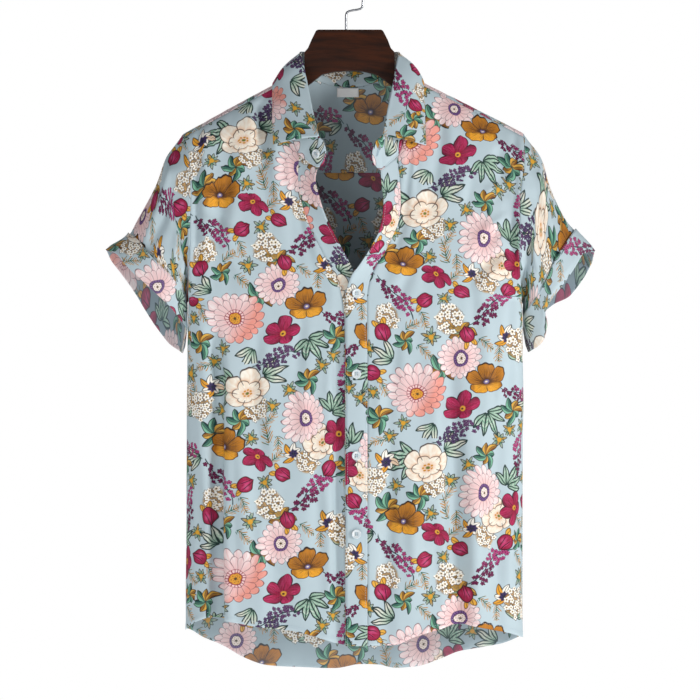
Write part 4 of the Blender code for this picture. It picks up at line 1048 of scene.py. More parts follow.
SKY = dye(190, 207, 214)
# The inner faces' ground is painted darker than the outside: painted shade where the inside lies out of the
# light.
SKY_SHADE = dye(172, 190, 198)
# Darker still inside the sleeves: painted shade in the tube, stronger than on the other inner faces.
SLEEVE_SHADE = dye(146, 163, 173)
# The inside finishes take these darker grounds as painted shade, with the print paled as on the wrong side.
printed_outside = viscose("printed_outside", SKY, SKY, 0.0)
printed_inside_painted_shade = viscose("printed_inside_painted_shade", SKY_SHADE, SKY_SHADE, 0.16)
sleeve_inside_painted_shade = viscose("sleeve_inside_painted_shade", SLEEVE_SHADE, SLEEVE_SHADE, 0.3)
placket_outside = viscose("placket_outside", SKY, SKY, 0.0)
placket_inside_painted_shade = viscose("placket_inside_painted_shade", SKY_SHADE, SKY_SHADE, 0.14)
cuff_outside = viscose("cuff_outside", SKY, SKY, 0.05)
cuff_inside_painted_shade = viscose("cuff_inside_painted_shade", SKY_SHADE, SKY_SHADE, 0.16)
collar_outside = viscose("collar_outside", SKY, SKY, 0.0)
collar_inside_painted_shade = viscose("collar_inside_painted_shade", SKY_SHADE, SKY_SHADE, 0.14)


# The sewing. Every seam and hem is held by a row of pale polyester thread, each stitch a short raised
# length that dips into the cloth at both ends.
STITCH_LEAN, STITCH_SIDES, STITCH_RINGS = 0.07, 6, 4


def stitch_tree():
    """One stitch after another along a line, each a short rounded thread lying on the cloth."""
    tree = Ink.tree = bpy.data.node_groups.new("running_stitch", "GeometryNodeTree")
    face = tree.interface
    face.new_socket("Line", in_out="INPUT", socket_type="NodeSocketGeometry")
    face.new_socket("Stitches", in_out="OUTPUT", socket_type="NodeSocketGeometry")
    for name in ("Spacing", "Length", "Thickness", "Turn"):
        face.new_socket(name, in_out="INPUT", socket_type="NodeSocketFloat")
    face.new_socket("Seed", in_out="INPUT", socket_type="NodeSocketInt")
    face.new_socket("Thread", in_out="INPUT", socket_type="NodeSocketMaterial")

    def add(kind, joined=None, **settings):
        """The outputs of a new node with these settings, and these values at its inputs."""
        node = tree.nodes.new(kind)
        for name, value in settings.items():
            setattr(node, name, value)
        for socket, value in (joined or {}).items():
            into(node.inputs[socket], value)
        return node.outputs

    given = add("NodeGroupInput")
    curve = add("GeometryNodeMeshToCurve", {"Mesh": given["Line"]})[0]
    evenly = {"Curve": curve, "Length": given["Spacing"]}
    points = add("GeometryNodeResampleCurve", evenly, mode="LENGTH")[0]
    named = add("GeometryNodeInputNamedAttribute", {"Name": "outwards"}, data_type="FLOAT_VECTOR")
    stand = add("FunctionNodeAlignRotationToVector", {"Vector": named["Attribute"]}, axis="Z")[0]
    ahead = {"Rotation": stand, "Vector": add("GeometryNodeInputTangent")[0]}
    follow = add("FunctionNodeAlignRotationToVector", ahead, axis="X", pivot_axis="Z")[0]
    between = {2: -STITCH_LEAN, 3: STITCH_LEAN, "Seed": given["Seed"]}
    uneven = add("FunctionNodeRandomValue", between)[1]
    lean = add("ShaderNodeMath", {0: uneven, 1: given["Turn"]}, operation="ADD")[0]
    lean = {"Rotation": follow, "Rotate By": add("ShaderNodeCombineXYZ", {2: lean})[0]}
    turned = add("FunctionNodeRotateRotation", lean, rotation_space="LOCAL")[0]
    half = add("ShaderNodeMath", {0: given["Length"], 1: 0.5}, operation="MULTIPLY")[0]
    size = add("ShaderNodeCombineXYZ", {0: half, 1: given["Thickness"], 2: given["Thickness"]})[0]
    thread = add("GeometryNodeMeshUVSphere", {"Segments": STITCH_SIDES, "Rings": STITCH_RINGS})
    laid = {"Points": points, "Instance": thread["Mesh"], "Rotation": turned, "Scale": size}
    real = add("GeometryNodeRealizeInstances", {0: add("GeometryNodeInstanceOnPoints", laid)[0]})[0]
    finish = {"Geometry": real, "Material": given["Thread"]}
    add("NodeGroupOutput", {0: add("GeometryNodeSetMaterial", finish)[0]})
    return tree


def in_scene(name, data):
    made = bpy.data.objects.new(name, data)
    bpy.context.scene.collection.objects.link(made)
    return made


def stitches(name, lines, thread, slot, spacing=3.1, length=2.4, thickness=0.2, turn=0.0, seed=1):
    """A piece with the stitches along these lines, each given as points and the cloth's normals there."""
    points, edges, out = [], [], []
    for line, normal in lines:
        edges += [(len(points) + step, len(points) + step + 1) for step in range(len(line) - 1)]
        points += (np.asarray(line) * METRES).tolist()
        out += np.asarray(normal).tolist()
    path = bpy.data.meshes.new(name + "_line")
    path.from_pydata(points, edges, [])
    path.attributes.new("outwards", "FLOAT_VECTOR", "POINT").data.foreach_set("vector", np.ravel(out))
    drawn = in_scene(name + "_line", path)
    sewing = drawn.modifiers.new("sewing", "NODES")
    sewing.node_group = running_stitch
    values = {
        "Spacing": spacing * METRES,
        "Length": length * METRES,
        "Thickness": thickness * METRES,
        "Turn": turn,
        "Seed": seed,
        "Thread": thread,
    }
    for item in running_stitch.interface.items_tree:
        if item.in_out == "INPUT" and item.name in values:
            sewing[item.identifier] = values[item.name]
    ready = drawn.evaluated_get(bpy.context.evaluated_depsgraph_get())
    mesh = bpy.data.meshes.new_from_object(ready)
    mesh.name = name
    mesh.polygons.foreach_set("use_smooth", [True] * len(mesh.polygons))
    bpy.data.objects.remove(drawn)
    made = in_scene(name, mesh)
    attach(made, "root")
    return made


NEAR_EDGE = 8


def beside(face, edge, off, lift=0.1, closed=False):
    """A line this far inside one edge of a grid, just above the cloth, and the normals along it."""
    out = normals(face, closed)
    if closed:
        face, out = (np.concatenate([grid, grid[:, :1]], axis=1) for grid in (face, out))
    if edge in ("first", "last"):
        face, out = np.swapaxes(face, 0, 1), np.swapaxes(out, 0, 1)
    if edge in ("high", "last"):
        face, out = face[::-1], out[::-1]
    length = run_of(np.linalg.norm(np.diff(face[:NEAR_EDGE], axis=0), axis=2))
    line, normal = [], []
    for at in range(face.shape[1]):
        where = np.interp(off, length[:, at], np.arange(len(length)))
        row = min(int(where), len(length) - 2)
        part = where - row
        line.append(face[row, at] * (1 - part) + face[row + 1, at] * part)
        normal.append(out[row, at])
    line, normal = np.array(line), np.array(normal)
    return line + normal * lift, normal


def within_piece():
    """A point's own x, y and z in the piece, in metres."""
    return taken_apart(Ink.tree.nodes.new("ShaderNodeTexCoord").outputs["Object"])


def spun_thread(name, colour):
    """Sewing thread, two plies twisted together."""
    made, shader = new_finish(name, {"Sheen Weight": 0.2})
    x, _, z = within_piece()
    twist = ((x + z) * 9000.0 + (z - x) * 4000.0).sine() * 0.5 + 0.5
    paint(shader, over(colour, dye(120, 150, 168), twist * 0.25), twist * 0.12 + 0.42)
    return made


running_stitch = stitch_tree()
pale_thread = spun_thread("pale_thread", dye(186, 208, 220))


def cloth(name, face, place, outside, inside, sunk=0.0, thick=CLOTH, closed=False):
    """A thin sheet: its outer face through the grid, its inner face behind it, and its edges.

    place is each point's place in the cloth it was cut from, across and along. On a ring it has one more
    column than face.
    """
    rows, across = face.shape[:2]
    out = normals(face, closed)
    outer = face - out * np.asarray(sunk)[..., None]
    inner = face - out * thick
    number = np.arange(rows * across).reshape(rows, across)
    spot = np.arange(rows * place.shape[1]).reshape(rows, place.shape[1])
    if closed:
        number = np.concatenate([number, number[:, :1]], axis=1)
    under = number + rows * across

    def cells(grid):
        return np.stack([grid[:-1, :-1], grid[:-1, 1:], grid[1:, 1:], grid[1:, :-1]], axis=2).reshape(-1, 4)

    def strip(top, low):
        return np.stack([low[:-1], top[:-1], top[1:], low[1:]], axis=1)

    corners = [cells(number), cells(under)[:, ::-1]]
    spots = [cells(spot), cells(spot)[:, ::-1]]
    rims = [(np.s_[0, ::-1]), (np.s_[-1, :])]
    if not closed:
        rims += [(np.s_[:, 0]), (np.s_[::-1, -1])]
    for rim in rims:
        corners.append(strip(number[rim], under[rim]))
        spots.append(strip(spot[rim], spot[rim]))
    count = len(corners[0])
    corners, spots = np.concatenate(corners), np.concatenate(spots)
    mesh = bpy.data.meshes.new(name)
    points = np.concatenate([outer, inner]).reshape(-1, 3) * METRES
    mesh.from_pydata(points.tolist(), [], corners.tolist())
    mesh.materials.append(outside)
    mesh.materials.append(inside)
    which = np.zeros(len(corners), int)
    which[count : 2 * count] = 1
    mesh.polygons.foreach_set("material_index", which)
    mesh.polygons.foreach_set("use_smooth", [True] * len(corners))
    lay_print(mesh, place.reshape(-1, 2)[spots])
    made = in_scene(name, mesh)
    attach(made, "root")
    return made


right_band, right_front, right_across = front_panel(RIGHT, FRONT_EDGE_RIGHT, NECKLINE_RIGHT)
left_band, left_front, left_across = front_panel(LEFT, FRONT_EDGE_LEFT, NECKLINE_LEFT)
fronts = {}
for side, points, across, rows, phase in (
    (RIGHT, right_front, right_across, CREASES_RIGHT_FRONT, 0.6),
    (LEFT, left_front, left_across, CREASES_LEFT_FRONT, 2.9),
):
    word = "right" if side == RIGHT else "left"
    along = up_the_cloth(points, 0)
    lift = crease_height(points[..., 0], points[..., 2], rows) + ripples(across, along, phase)
    lift = lift * edge_fade(lift.shape, 0, 5, 3, 4) + turned_hem(along)
    points = raised(points, side * lift)
    fronts[side] = points
    place = np.stack([across, along], axis=2)
    sunk = pressed_seams(lift.shape, high=1, first=1, last=1)
    if side == RIGHT:
        points, place, sunk = other_way(points, place, sunk)
    name = f"front_{word}"
    made = cloth(name + "_cloth", points, place + CUT_FROM[name], printed_outside, printed_inside_painted_shade, sunk)
    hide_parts(name)
    armhole = beside(points, "first" if side == RIGHT else "last", ARMHOLE_STITCHES, 0.05)
    lines = [beside(points, "low", HEM_STITCHES), armhole]
    sewn = stitches(name + "_stitches", lines, pale_thread, "printed_cloth", seed=2 + side)

# The back. It hangs from the yoke's seam to a tail longer than the fronts, cut from one piece of the same
# cloth and sewn to both fronts down the sides.
YOKE_SEAM_Z = -243.5
HALF_BACK_COLUMNS, BACK_ARMHOLE_ROWS, BACK_ACROSS = 15, 8, 5
# x, height of the hem
HEM_BACK = (
    (-200, -816.2), (-192.5, -820.9), (-183, -828.4), (-156, -841.4), (-130.8, -855.9),
    (-99.2, -867.6), (-57.3, -870.7), (-14.1, -871.8), (19, -866.5), (40, -867), (62.2, -870.6),
    (90.1, -869), (118.1, -860), (146.7, -848.1), (175, -843), (194.8, -838.8), (209.1, -832.9),
    (220.6, -825),
)
# the same columns as on the fronts
CREASES_BACK = (
    (-178, -300, -100, -340, -7, 8, 2.9), (-180, -340, -112, -400, -8, 9, -3.1),
    (-90, -250, -80, -420, 5, 10, 2.7), (-150, -430, -160, -640, 6, 10, 3.1),
    (-96, -520, -90, -860, -6, 12, 3.7), (-28, -260, -34, -520, 4, 11, -2.5),
    (-22, -560, -14, -866, -5, 12, 3.2), (22, -300, 30, -560, 5, 10, 2.2),
    (40, -600, 36, -864, 4, 11, -3.1), (104, -260, 96, -450, -5, 9, -2.7),
    (108, -500, 116, -858, 6, 12, 3.6), (198, -310, 124, -350, 7, 8, 2.9),
    (200, -345, 132, -404, 8, 9, -3.1), (186, -440, 178, -700, -6, 9, 2.9),
    (-184, -640, -176, -820, -3, 7, -2.5),
)


def half_back(side):
    hem_mid = smooth(*columns(HEM_BACK), middle_x(HEM_BACK[0][1]))
    side_hem = (HEM_BACK[0] if side == RIGHT else HEM_BACK[-1])[1]

    def outer_of(finer):
        low = np.linspace(side_hem, UNDERARM_Z, LOW_ROWS * finer + 1)
        return np.concatenate([low, armhole_heights(side, YOKE_SEAM_Z, BACK_ARMHOLE_ROWS * finer)[1:]])

    def inner_of(finer):
        z = np.linspace(hem_mid, YOKE_SEAM_Z, (LOW_ROWS + BACK_ARMHOLE_ROWS) * finer + 1)
        return np.stack([middle_x(z), z], axis=1)

    def top_of(x):
        return np.full(x.shape, YOKE_SEAM_Z)

    return body_panel(side, BACK, inner_of, outer_of, HALF_BACK_COLUMNS, BACK_ACROSS, HEM_BACK, top_of)


def both_halves(right, left):
    """One piece from two halves that meet in the middle."""
    middle = (right[:, :1] + left[:, :1]) / 2
    return np.concatenate([right[:, :0:-1], middle, left[:, 1:]], axis=1)


right_half, right_across = half_back(RIGHT)
left_half, left_across = half_back(LEFT)
plain_back = both_halves(right_half, left_half)
across = both_halves(right_across[..., None], left_across[..., None])[..., 0]
along = up_the_cloth(plain_back, 0)
lift = crease_height(plain_back[..., 0], plain_back[..., 2], CREASES_BACK) + ripples(across, along, 4.4)
lift = lift * edge_fade(lift.shape, 0, 5, 7, 7) + turned_hem(along)
back = raised(plain_back, -lift)
sunk = pressed_seams(lift.shape, high=1, first=1, last=1)
face, place, sunk = other_way(back, np.stack([across, along], axis=2), sunk)
made = cloth("back_cloth", face, place + CUT_FROM["back"], printed_outside, printed_inside_painted_shade, sunk)
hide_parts("back")
lines = [beside(face, "low", HEM_STITCHES)]
sewn = stitches("back_stitches", lines, pale_thread, "printed_cloth", seed=5)

# The yoke. One piece over both shoulders, from the back seam to the front shoulder seams, with the neck cut
# out of its front edge. It carries the rest of the shirt on the hanger's arms.
NECK_POINT_X = {RIGHT: -57.3, LEFT: 64.8}
NECK_COLUMNS, YOKE_ROWS, YOKE_FINER = 7, 9, 6
OVER_THE_TOP = -1.6
END_ROUNDS = 4
YOKE_STITCHES, YOKE_INSIDE_STITCHES = 1.5, (2.0, 5.0)
# from the middle of the back to the front seam: share of the way to the neck point, and level, the square
# root of the drop below the shoulder line, negative behind it
NECKLINE_YOKE = (
    (0, -6.4), (0.25, -6.1), (0.49, -5.35), (0.7, -4.25), (0.86, -3), (0.96, -1.6), (1, 0),
    (1.0, FRONT_LEVEL),
)


def half_yoke(side, seam_row):
    """Rows from the back seam over the shoulder to the front seam, or up to the back neckline."""
    rough = seam_row[::BACK_ACROSS]
    count = len(rough) - 1
    neck_share, neck_level = columns(NECKLINE_YOKE)
    neck_x, end_x = NECK_POINT_X[side], side_x(SHOULDER_END_Z, side)
    outside = np.arange(1, count - NECK_COLUMNS + 1) / (count - NECK_COLUMNS)
    neck_part = NECK_X + (neck_x - NECK_X) * neck_share
    top_x = np.concatenate([neck_part, neck_x + (end_x - neck_x) * outside])
    top = np.concatenate([neck_level, np.full(len(outside), FRONT_LEVEL)])
    low = -np.sqrt(ridge(rough[:, 0]) - rough[:, 2])
    level = low + (top - low) * np.linspace(0.0, 1.0, YOKE_ROWS + 1)[:, None]
    over = np.concatenate([np.linspace(low[-1], OVER_THE_TOP, YOKE_ROWS - 1), [0.0, FRONT_LEVEL]])
    level[:, NECK_COLUMNS + 1 :] = low[None, NECK_COLUMNS + 1 :] / low[-1] * np.minimum(over, 0)[:, None]
    level[:, NECK_COLUMNS + 1 :] += np.maximum(over, 0)[:, None]
    level[:, NECK_COLUMNS] = level[:, NECK_COLUMNS + 1]
    level[0, NECK_COLUMNS] = low[NECK_COLUMNS]
    up = (level - low) / (top - low)
    x = rough[:, 0] + (top_x - rough[:, 0]) * up
    end = x[:, -1:].copy()
    for _ in range(END_ROUNDS):
        end = side_x(ridge(end) - level[:, -1:] ** 2, side)
    x = x + (end - x[:, -1:]) * (np.arange(count + 1) / count) ** 4
    x = finer_grid(x[..., None], YOKE_ROWS * YOKE_FINER, count * BACK_ACROSS)[..., 0]
    level = finer_grid(level[..., None], YOKE_ROWS * YOKE_FINER, count * BACK_ACROSS)[..., 0]
    rest = (1 - np.linspace(0.0, 1.0, len(x))[:, None]) ** 3
    x = x + (seam_row[:, 0] - x[0]) * rest
    level = level + (-np.sqrt(ridge(seam_row[:, 0]) - seam_row[:, 2]) - level[0]) * rest
    z = ridge(x) - level**2
    return np.stack([x, -np.sign(level) * half_depth(x, z), z], axis=2)


def across_the_cloth(points):
    """Place of each column from the first one, by the mean width between them."""
    return run_of(np.linalg.norm(np.diff(points, axis=1), axis=2).mean(axis=0))


yoke = both_halves(half_yoke(RIGHT, right_half[-1]), half_yoke(LEFT, left_half[-1]))
across = across_the_cloth(yoke)
across = np.broadcast_to(across - across[len(across) // 2], yoke.shape[:2])
along = up_the_cloth(yoke, 0)
lift = ripples(across, along, 1.3) * edge_fade(yoke.shape[:2], 5, 4, 5, 5) * 0.8
yoke_face = raised(yoke, -lift)
sunk = pressed_seams(lift.shape, low=1, high=1, first=1, last=1)
face, place, sunk = other_way(yoke_face, np.stack([across, along], axis=2), sunk)
made = cloth("yoke_cloth", face, place + CUT_FROM["yoke"], printed_outside, printed_inside_painted_shade, sunk)
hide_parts("yoke")
neck = np.abs(np.arange(yoke.shape[1]) - yoke.shape[1] // 2) < NECK_COLUMNS * BACK_ACROSS
shoulders = [slice(0, int(np.argmax(neck))), slice(len(neck) - int(np.argmax(neck)), None)]
lines = [beside(face, "low", YOKE_STITCHES)]
lines += [beside(face[:, part], "high", YOKE_STITCHES) for part in shoulders]
under = (yoke_face + normals(yoke) * CLOTH)[:, ::-1]
for off in YOKE_INSIDE_STITCHES:
    line, normal = beside(under, "low", off, -0.1)
    lines.append((line, -normal))
sewn = stitches("yoke_stitches", lines, pale_thread, "printed_cloth", seed=7)

# The plackets. Each is a strip folded lengthwise and sewn to its front, with a row of stitches along both
# its edges. The left one, with the buttonholes, lies over the right one, and above the top button both curl
# open.
BAND_COLUMNS = 10
PLACKET = 0.9
OVER_BAND_OUT, UNDER_BAND_IN = 1.0, 0.9
PLACKET_STITCHES = 2.6


def placket(band, seam_points, out):
    """The band between a front's seam and its free edge, on the body's front, its edge curling forwards."""
    share = np.linspace(0.0, 1.0, BAND_COLUMNS + 1)[None, :]
    seam = seam_points[:, None, :]
    x = seam[..., 0] + (band[:, 2:3] - seam[..., 0]) * share
    z = seam[..., 2] + (band[:, 3:4] - seam[..., 2]) * share
    own = seam[..., 1] + half_depth(seam[..., 0], seam[..., 2])
    clear = np.clip(share / 0.25, 0, 1)
    curl = band[:, 4:5] * share**1.6
    y = -half_depth(x, z) + own * (1 - share) ** 2 - curl - out * eased(clear)
    return np.stack([x, y, z], axis=2)


band_points = BAND_ROWS * FINER + 1
under_band = placket(right_band, fronts[RIGHT][:band_points, 0], -UNDER_BAND_IN)
over_band = placket(left_band, fronts[LEFT][:band_points, 0], OVER_BAND_OUT)
for word, points in (("right", under_band), ("left", over_band)):
    across = np.broadcast_to(across_the_cloth(points), points.shape[:2])
    along = up_the_cloth(points, 0)
    lift = 0.35 * np.sin(along / 23 + 1.4 * np.sin(along / 57)) * np.sin(across / 9)
    lift = lift * edge_fade(lift.shape, 2, 2, 1, 1)
    points = raised(points, lift if word == "right" else -lift)
    place = np.stack([across, along], axis=2)
    sunk = pressed_seams(lift.shape, low=0.8, high=0.8, first=1.0, last=1.0)
    if word == "left":
        points, place, sunk = other_way(points, place, sunk)
    name = f"placket_{word}"
    place = place + CUT_FROM[name]
    made = cloth(name + "_cloth", points, place, placket_outside, placket_inside_painted_shade, sunk, PLACKET)
    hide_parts(name)
    lines = [beside(points, edge, PLACKET_STITCHES) for edge in ("first", "last")]
    sewn = stitches(name + "_stitches", lines, pale_thread, "placket_cloth", seed=11)
    carrier = "front_right" if word == "right" else "front_left"

# The sleeves. Each is cut from one piece that is sewn into a tube below the arm and set into the armhole.
# It hangs flat beside the body, with long soft folds down from the shoulder and from the underarm.
SLEEVE_LENGTHS = 60
CUFF_TOP_RING, CUFF_HEM_RING = 4, 5
LEFT_CREASE_TURN = 7.0
# rings after the armhole: outer x and height, inner x and height, front depth, back depth, how far back the
# inner end lies, share of the cuff's curve
SLEEVE_RIGHT = (
    (-223.8, -225, -199, -412, 40, 40, 1, 0.25), (-237.5, -261.2, -200, -419, 44, 44, 4, 0.5),
    (-262.5, -308.8, -201, -430, 46, 46, 8, 0.8), (-270, -322.5, -201.8, -441, 46, 46, 10, 1),
    (-300, -342.5, -205, -471.3, 46, 48, 12, 1),
)
SLEEVE_LEFT = (
    (242.5, -225, 221.5, -412, 40, 40, 1, 0.25), (256.2, -267.5, 222.5, -419, 44, 44, 4, 0.5),
    (276.2, -307.5, 223.5, -430, 46, 46, 8, 0.8), (285, -317.5, 224.5, -440, 46, 46, 10, 1),
    (311.2, -343.8, 228.8, -470, 46, 48, 12, 1),
)
# share from the outer to the inner end, rise of the cuff's top in front and drop at the back, the same at
# its hem
CUFF_CURVE_RIGHT = (
    (0, 0, 0, 0, 0), (0.1, 6.5, 2, 9, 4), (0.25, 10, 3, 11, 4), (0.4, 15, 4, 16, 5),
    (0.55, 20, 6, 20.5, 7.5), (0.7, 22, 7, 24, 8.8), (0.85, 16, 6, 24, 8), (1, 0, 0, 0, 0),
)
CUFF_CURVE_LEFT = (
    (0, 0, 0, 0, 0), (0.1, 3, 3, 12, 6.5), (0.25, 6, 5, 11.5, 8.7), (0.4, 7, 5, 12.4, 7),
    (0.55, 6, 2, 14, -5), (0.65, 6.5, 0, 12, -9), (0.75, 7.5, -2, 0, -8), (0.88, 9, -2, -6, -5),
    (1, 0, 0, 0, 0),
)
# turn round the sleeve, from 0 on top over the front, in degrees; start and end along the sleeve; how far
# the turn drifts; width in millimetres; height of the ridge
SLEEVE_CREASES = (
    (38, 0, 0.75, 10, 8, 3), (62, 0.05, 0.9, -6, 9, -3.4), (86, 0, 0.6, 8, 8, 3.2),
    (112, 0.1, 0.95, -12, 9, 2.8), (136, 0, 0.8, -10, 8, -3.4), (158, 0.1, 0.9, 4, 7, 2.7),
    (214, 0, 0.8, 8, 9, 3.2), (248, 0.05, 0.9, -8, 10, -3.2), (286, 0, 0.75, 8, 9, 3),
    (322, 0, 0.7, -6, 8, -2.5),
)


def armhole_ring(side, front, back_grid, yoke_side):
    """Points round an armhole: down the front, up the back and over the yoke, and each one's turn."""
    down = front[LOW_ROWS * FINER :, -1][::-1]
    up = back_grid[LOW_ROWS * FINER + 1 :, -1 if side == LEFT else 0]
    over = yoke_side[1:-1]
    ring = np.concatenate([down, up, over])
    length = run_of(np.linalg.norm(np.diff(ring, axis=0), axis=1))
    top = len(ring) - 1
    whole = length[top] + np.linalg.norm(ring[0] - ring[top])
    under = length[len(down) - 1]
    fall = length[top]
    turn = np.where(
        length <= under,
        np.pi * (length + whole - fall) / (under + whole - fall),
        np.pi + np.pi * (length - under) / (fall - under),
    )
    return ring, turn


def sleeve_rings(ring, turn, rows, curve, side):
    """The armhole and the rings after it, each with as many points."""
    share = (1 - np.cos(turn)) / 2
    in_front = np.sin(turn) >= 0
    at, top_front, top_back, hem_front, hem_back = columns(curve)
    rings = [ring]
    last = len(rows) - 1
    for index, (out_x, out_z, in_x, in_z, front, behind, lean, part) in enumerate(rows):
        outer, inner = np.array([out_x, out_z]), np.array([in_x, in_z])
        way = (inner - outer) / np.linalg.norm(inner - outer)
        rise = np.array([side * way[1], -side * way[0]])
        ahead, after = (hem_front, hem_back) if index == last else (top_front, top_back)
        lift = part * np.where(in_front, smooth(at, ahead, share), -smooth(at, after, share))
        flat = outer + (inner - outer) * share[:, None] + rise * lift[:, None]
        y = np.where(in_front, -front, -behind) * np.sin(turn) + lean * share**2
        rings.append(np.stack([flat[:, 0], y, flat[:, 1]], axis=1))
    return np.array(rings)


def ring_places(rings):
    """How far down the sleeve each ring lies."""
    return run_of(np.linalg.norm(np.diff(rings, axis=0), axis=2).mean(axis=1))


def sleeve_grid(rings, places):
    at = ring_places(rings)
    where = np.interp(places, np.arange(len(at)), at)
    return smooth(at, rings.reshape(len(at), -1), where).reshape(len(where), -1, 3)


def even_places(rings, first, last, count):
    """Ring numbers that cut the sleeve between two rings into equal lengths."""
    at = ring_places(rings)
    ends = np.interp([first, last], np.arange(len(at)), at)
    return np.interp(np.linspace(*ends, count + 1), at, np.arange(len(at)))


def from_underarm(turn, *grids):
    """The same rings, each started from the seam under the arm."""
    return [np.roll(grid, -int(np.abs(turn - np.pi).argmin()), axis=1) for grid in grids]


def round_and_along(face):
    """Each point's place in the flat sleeve, from its first column, with one more column to close it."""
    middle = face[len(face) // 2]
    across = run_of(np.linalg.norm(np.diff(middle, axis=0, append=middle[:1]), axis=1))
    across = np.broadcast_to(across, (len(face), len(across)))
    along = run_of(np.linalg.norm(np.diff(face, axis=0), axis=2))
    along = np.concatenate([along, along[:, :1]], axis=1)
    return np.stack([across, -along], axis=2)


tubes = []
for side, word, rows, curve, yoke_side in (
    (RIGHT, "right", SLEEVE_RIGHT, CUFF_CURVE_RIGHT, yoke[:, 0]),
    (LEFT, "left", SLEEVE_LEFT, CUFF_CURVE_LEFT, yoke[:, -1]),
):
    ring, turn = armhole_ring(side, fronts[side], back, yoke_side)
    tubes.append((side, word, turn, sleeve_rings(ring, turn, rows, curve, side)))

for side, word, turn, rings in tubes:
    face = sleeve_grid(rings, even_places(rings, 0, CUFF_HEM_RING, SLEEVE_LENGTHS))
    place = round_and_along(face)
    share = np.linspace(0.0, 1.0, len(face))[:, None]
    lift = ripples(place[:, :-1, 0], place[:, :-1, 1], 3.7 * side)
    round_it = place[:, :-1, 0]
    for degrees, start, end, drift, width, high in SLEEVE_CREASES:
        degrees = degrees + (LEFT_CREASE_TURN if side == LEFT else 0)
        centre = np.interp(np.radians(degrees), turn, round_it[0])
        t = np.clip((share - start) / (end - start), 0, 1)
        off = round_it - centre - drift * t
        ends = np.sin(np.pi * t) ** 0.8 * (share > start)
        lift = lift + high * np.exp(-((off / width) ** 2)) * ends
    lift = lift * edge_fade(lift.shape, 3, 0, 0, 0)
    face, lift = from_underarm(turn, face, lift)
    place = round_and_along(face)
    if side == RIGHT:
        face, place, lift = other_way(face, place, lift)
    face = raised(face, lift, closed=True)
    sunk = pressed_seams(lift.shape, low=1, first=1)
    name = f"sleeve_{word}"
    place = place + CUT_FROM[name]
    # The sleeve's inner face takes the darkest inside colour, painted shade in the tube.
    made = cloth(name + "_cloth", face, place, printed_outside, sleeve_inside_painted_shade, sunk, closed=True)
    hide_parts(name)
    lines = [beside(face, "low", ARMHOLE_STITCHES, closed=True)]
    sewn = stitches(name + "_stitches", lines, pale_thread, "printed_cloth", seed=13)

# The cuffs. Each is the end of its sleeve turned up twice on the outside and caught with stitches, so that
# it stands a little off the sleeve and shows a rounded fold at the hem.
CUFF_LENGTHS = 14
CUFF, CUFF_OFF, CUFF_STITCHES = 0.8, 1.3, 2.0
for side, word, turn, rings in tubes:
    face = sleeve_grid(rings, even_places(rings, CUFF_TOP_RING, CUFF_HEM_RING, CUFF_LENGTHS))
    place = round_and_along(face)
    share = np.linspace(0.0, 1.0, len(face))[:, None]
    round_it = place[:, :-1, 0]
    off = CUFF_OFF + CUFF + 0.9 * np.sin(round_it / 27 + side) * (1 - share) ** 1.5
    off = off + 0.6 * np.sin(round_it / 13 + 2 * np.sin(round_it / 41)) * np.sin(np.pi * share)
    off = off * np.clip((1.06 - share) / 0.3, 0.35, 1)
    face, off = from_underarm(turn, face, off)
    place = round_and_along(face)
    if side == RIGHT:
        face, place, off = other_way(face, place, off)
    face = raised(face, off, closed=True)
    name = f"cuff_{word}"
    place = place + CUT_FROM[name]
    made = cloth(name + "_cloth", face, place, cuff_outside, cuff_inside_painted_shade, thick=CUFF, closed=True)
    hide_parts(name)
    lines = [beside(face, "low", CUFF_STITCHES, closed=True)]
    sewn = stitches(name + "_stitches", lines, pale_thread, "cuff_cloth", seed=19)

# The collar. The stand is the band round the neck that carries the top button and its rounded ends. The
# fall is sewn inside the stand's top edge, rolls over it and lies on the shoulders, its two leaves spread
# open.
COLLAR_COLUMNS = 110
STAND_ROWS, FALL_ROWS, ROLL_ROWS = 11, 20, 3
STAND, FALL = 1.0, 0.9
ROLL_OFF = 1.9
FALL_BULGE = 4.0
TAB_SHARE = 0.932
STAND_STITCHES, FALL_STITCHES = 2.2, 4.5
# from the middle of the back to the front end of each half: share; x on the right and on the left; y;
# height of the roll on the right and on the left
ROLL = (
    (0, 4.4, 4.4, 38, -97.8, -97.8), (0.08, -16.4, 25.2, 36, -96.7, -96.7),
    (0.166, -37.8, 46.5, 30, -94.6, -94.6), (0.23, -50, 58.6, 20.5, -94.4, -94.4),
    (0.29, -55.2, 64.2, 9, -95.2, -95.2), (0.34, -56, 65, -2, -98.5, -98.5),
    (0.395, -54, 63.2, -11, -108.3, -108.3), (0.5, -48.8, 59.6, -27, -134.8, -132.3),
    (0.605, -44.5, 55.1, -39, -158, -155.6), (0.7, -40.1, 50.7, -49, -177.3, -176.1),
    (0.79, -36.5, 47.5, -57, -192.7, -191.5), (0.85, -34.8, 46, -61, -199.2, -197.9),
    (0.932, -32.5, 43.7, -65, -205.6, -204.3), (0.966, -27, 36.5, -66, -211.5, -210.5),
    (1, -24.1, 32, -66, -223.5, -224.1),
)
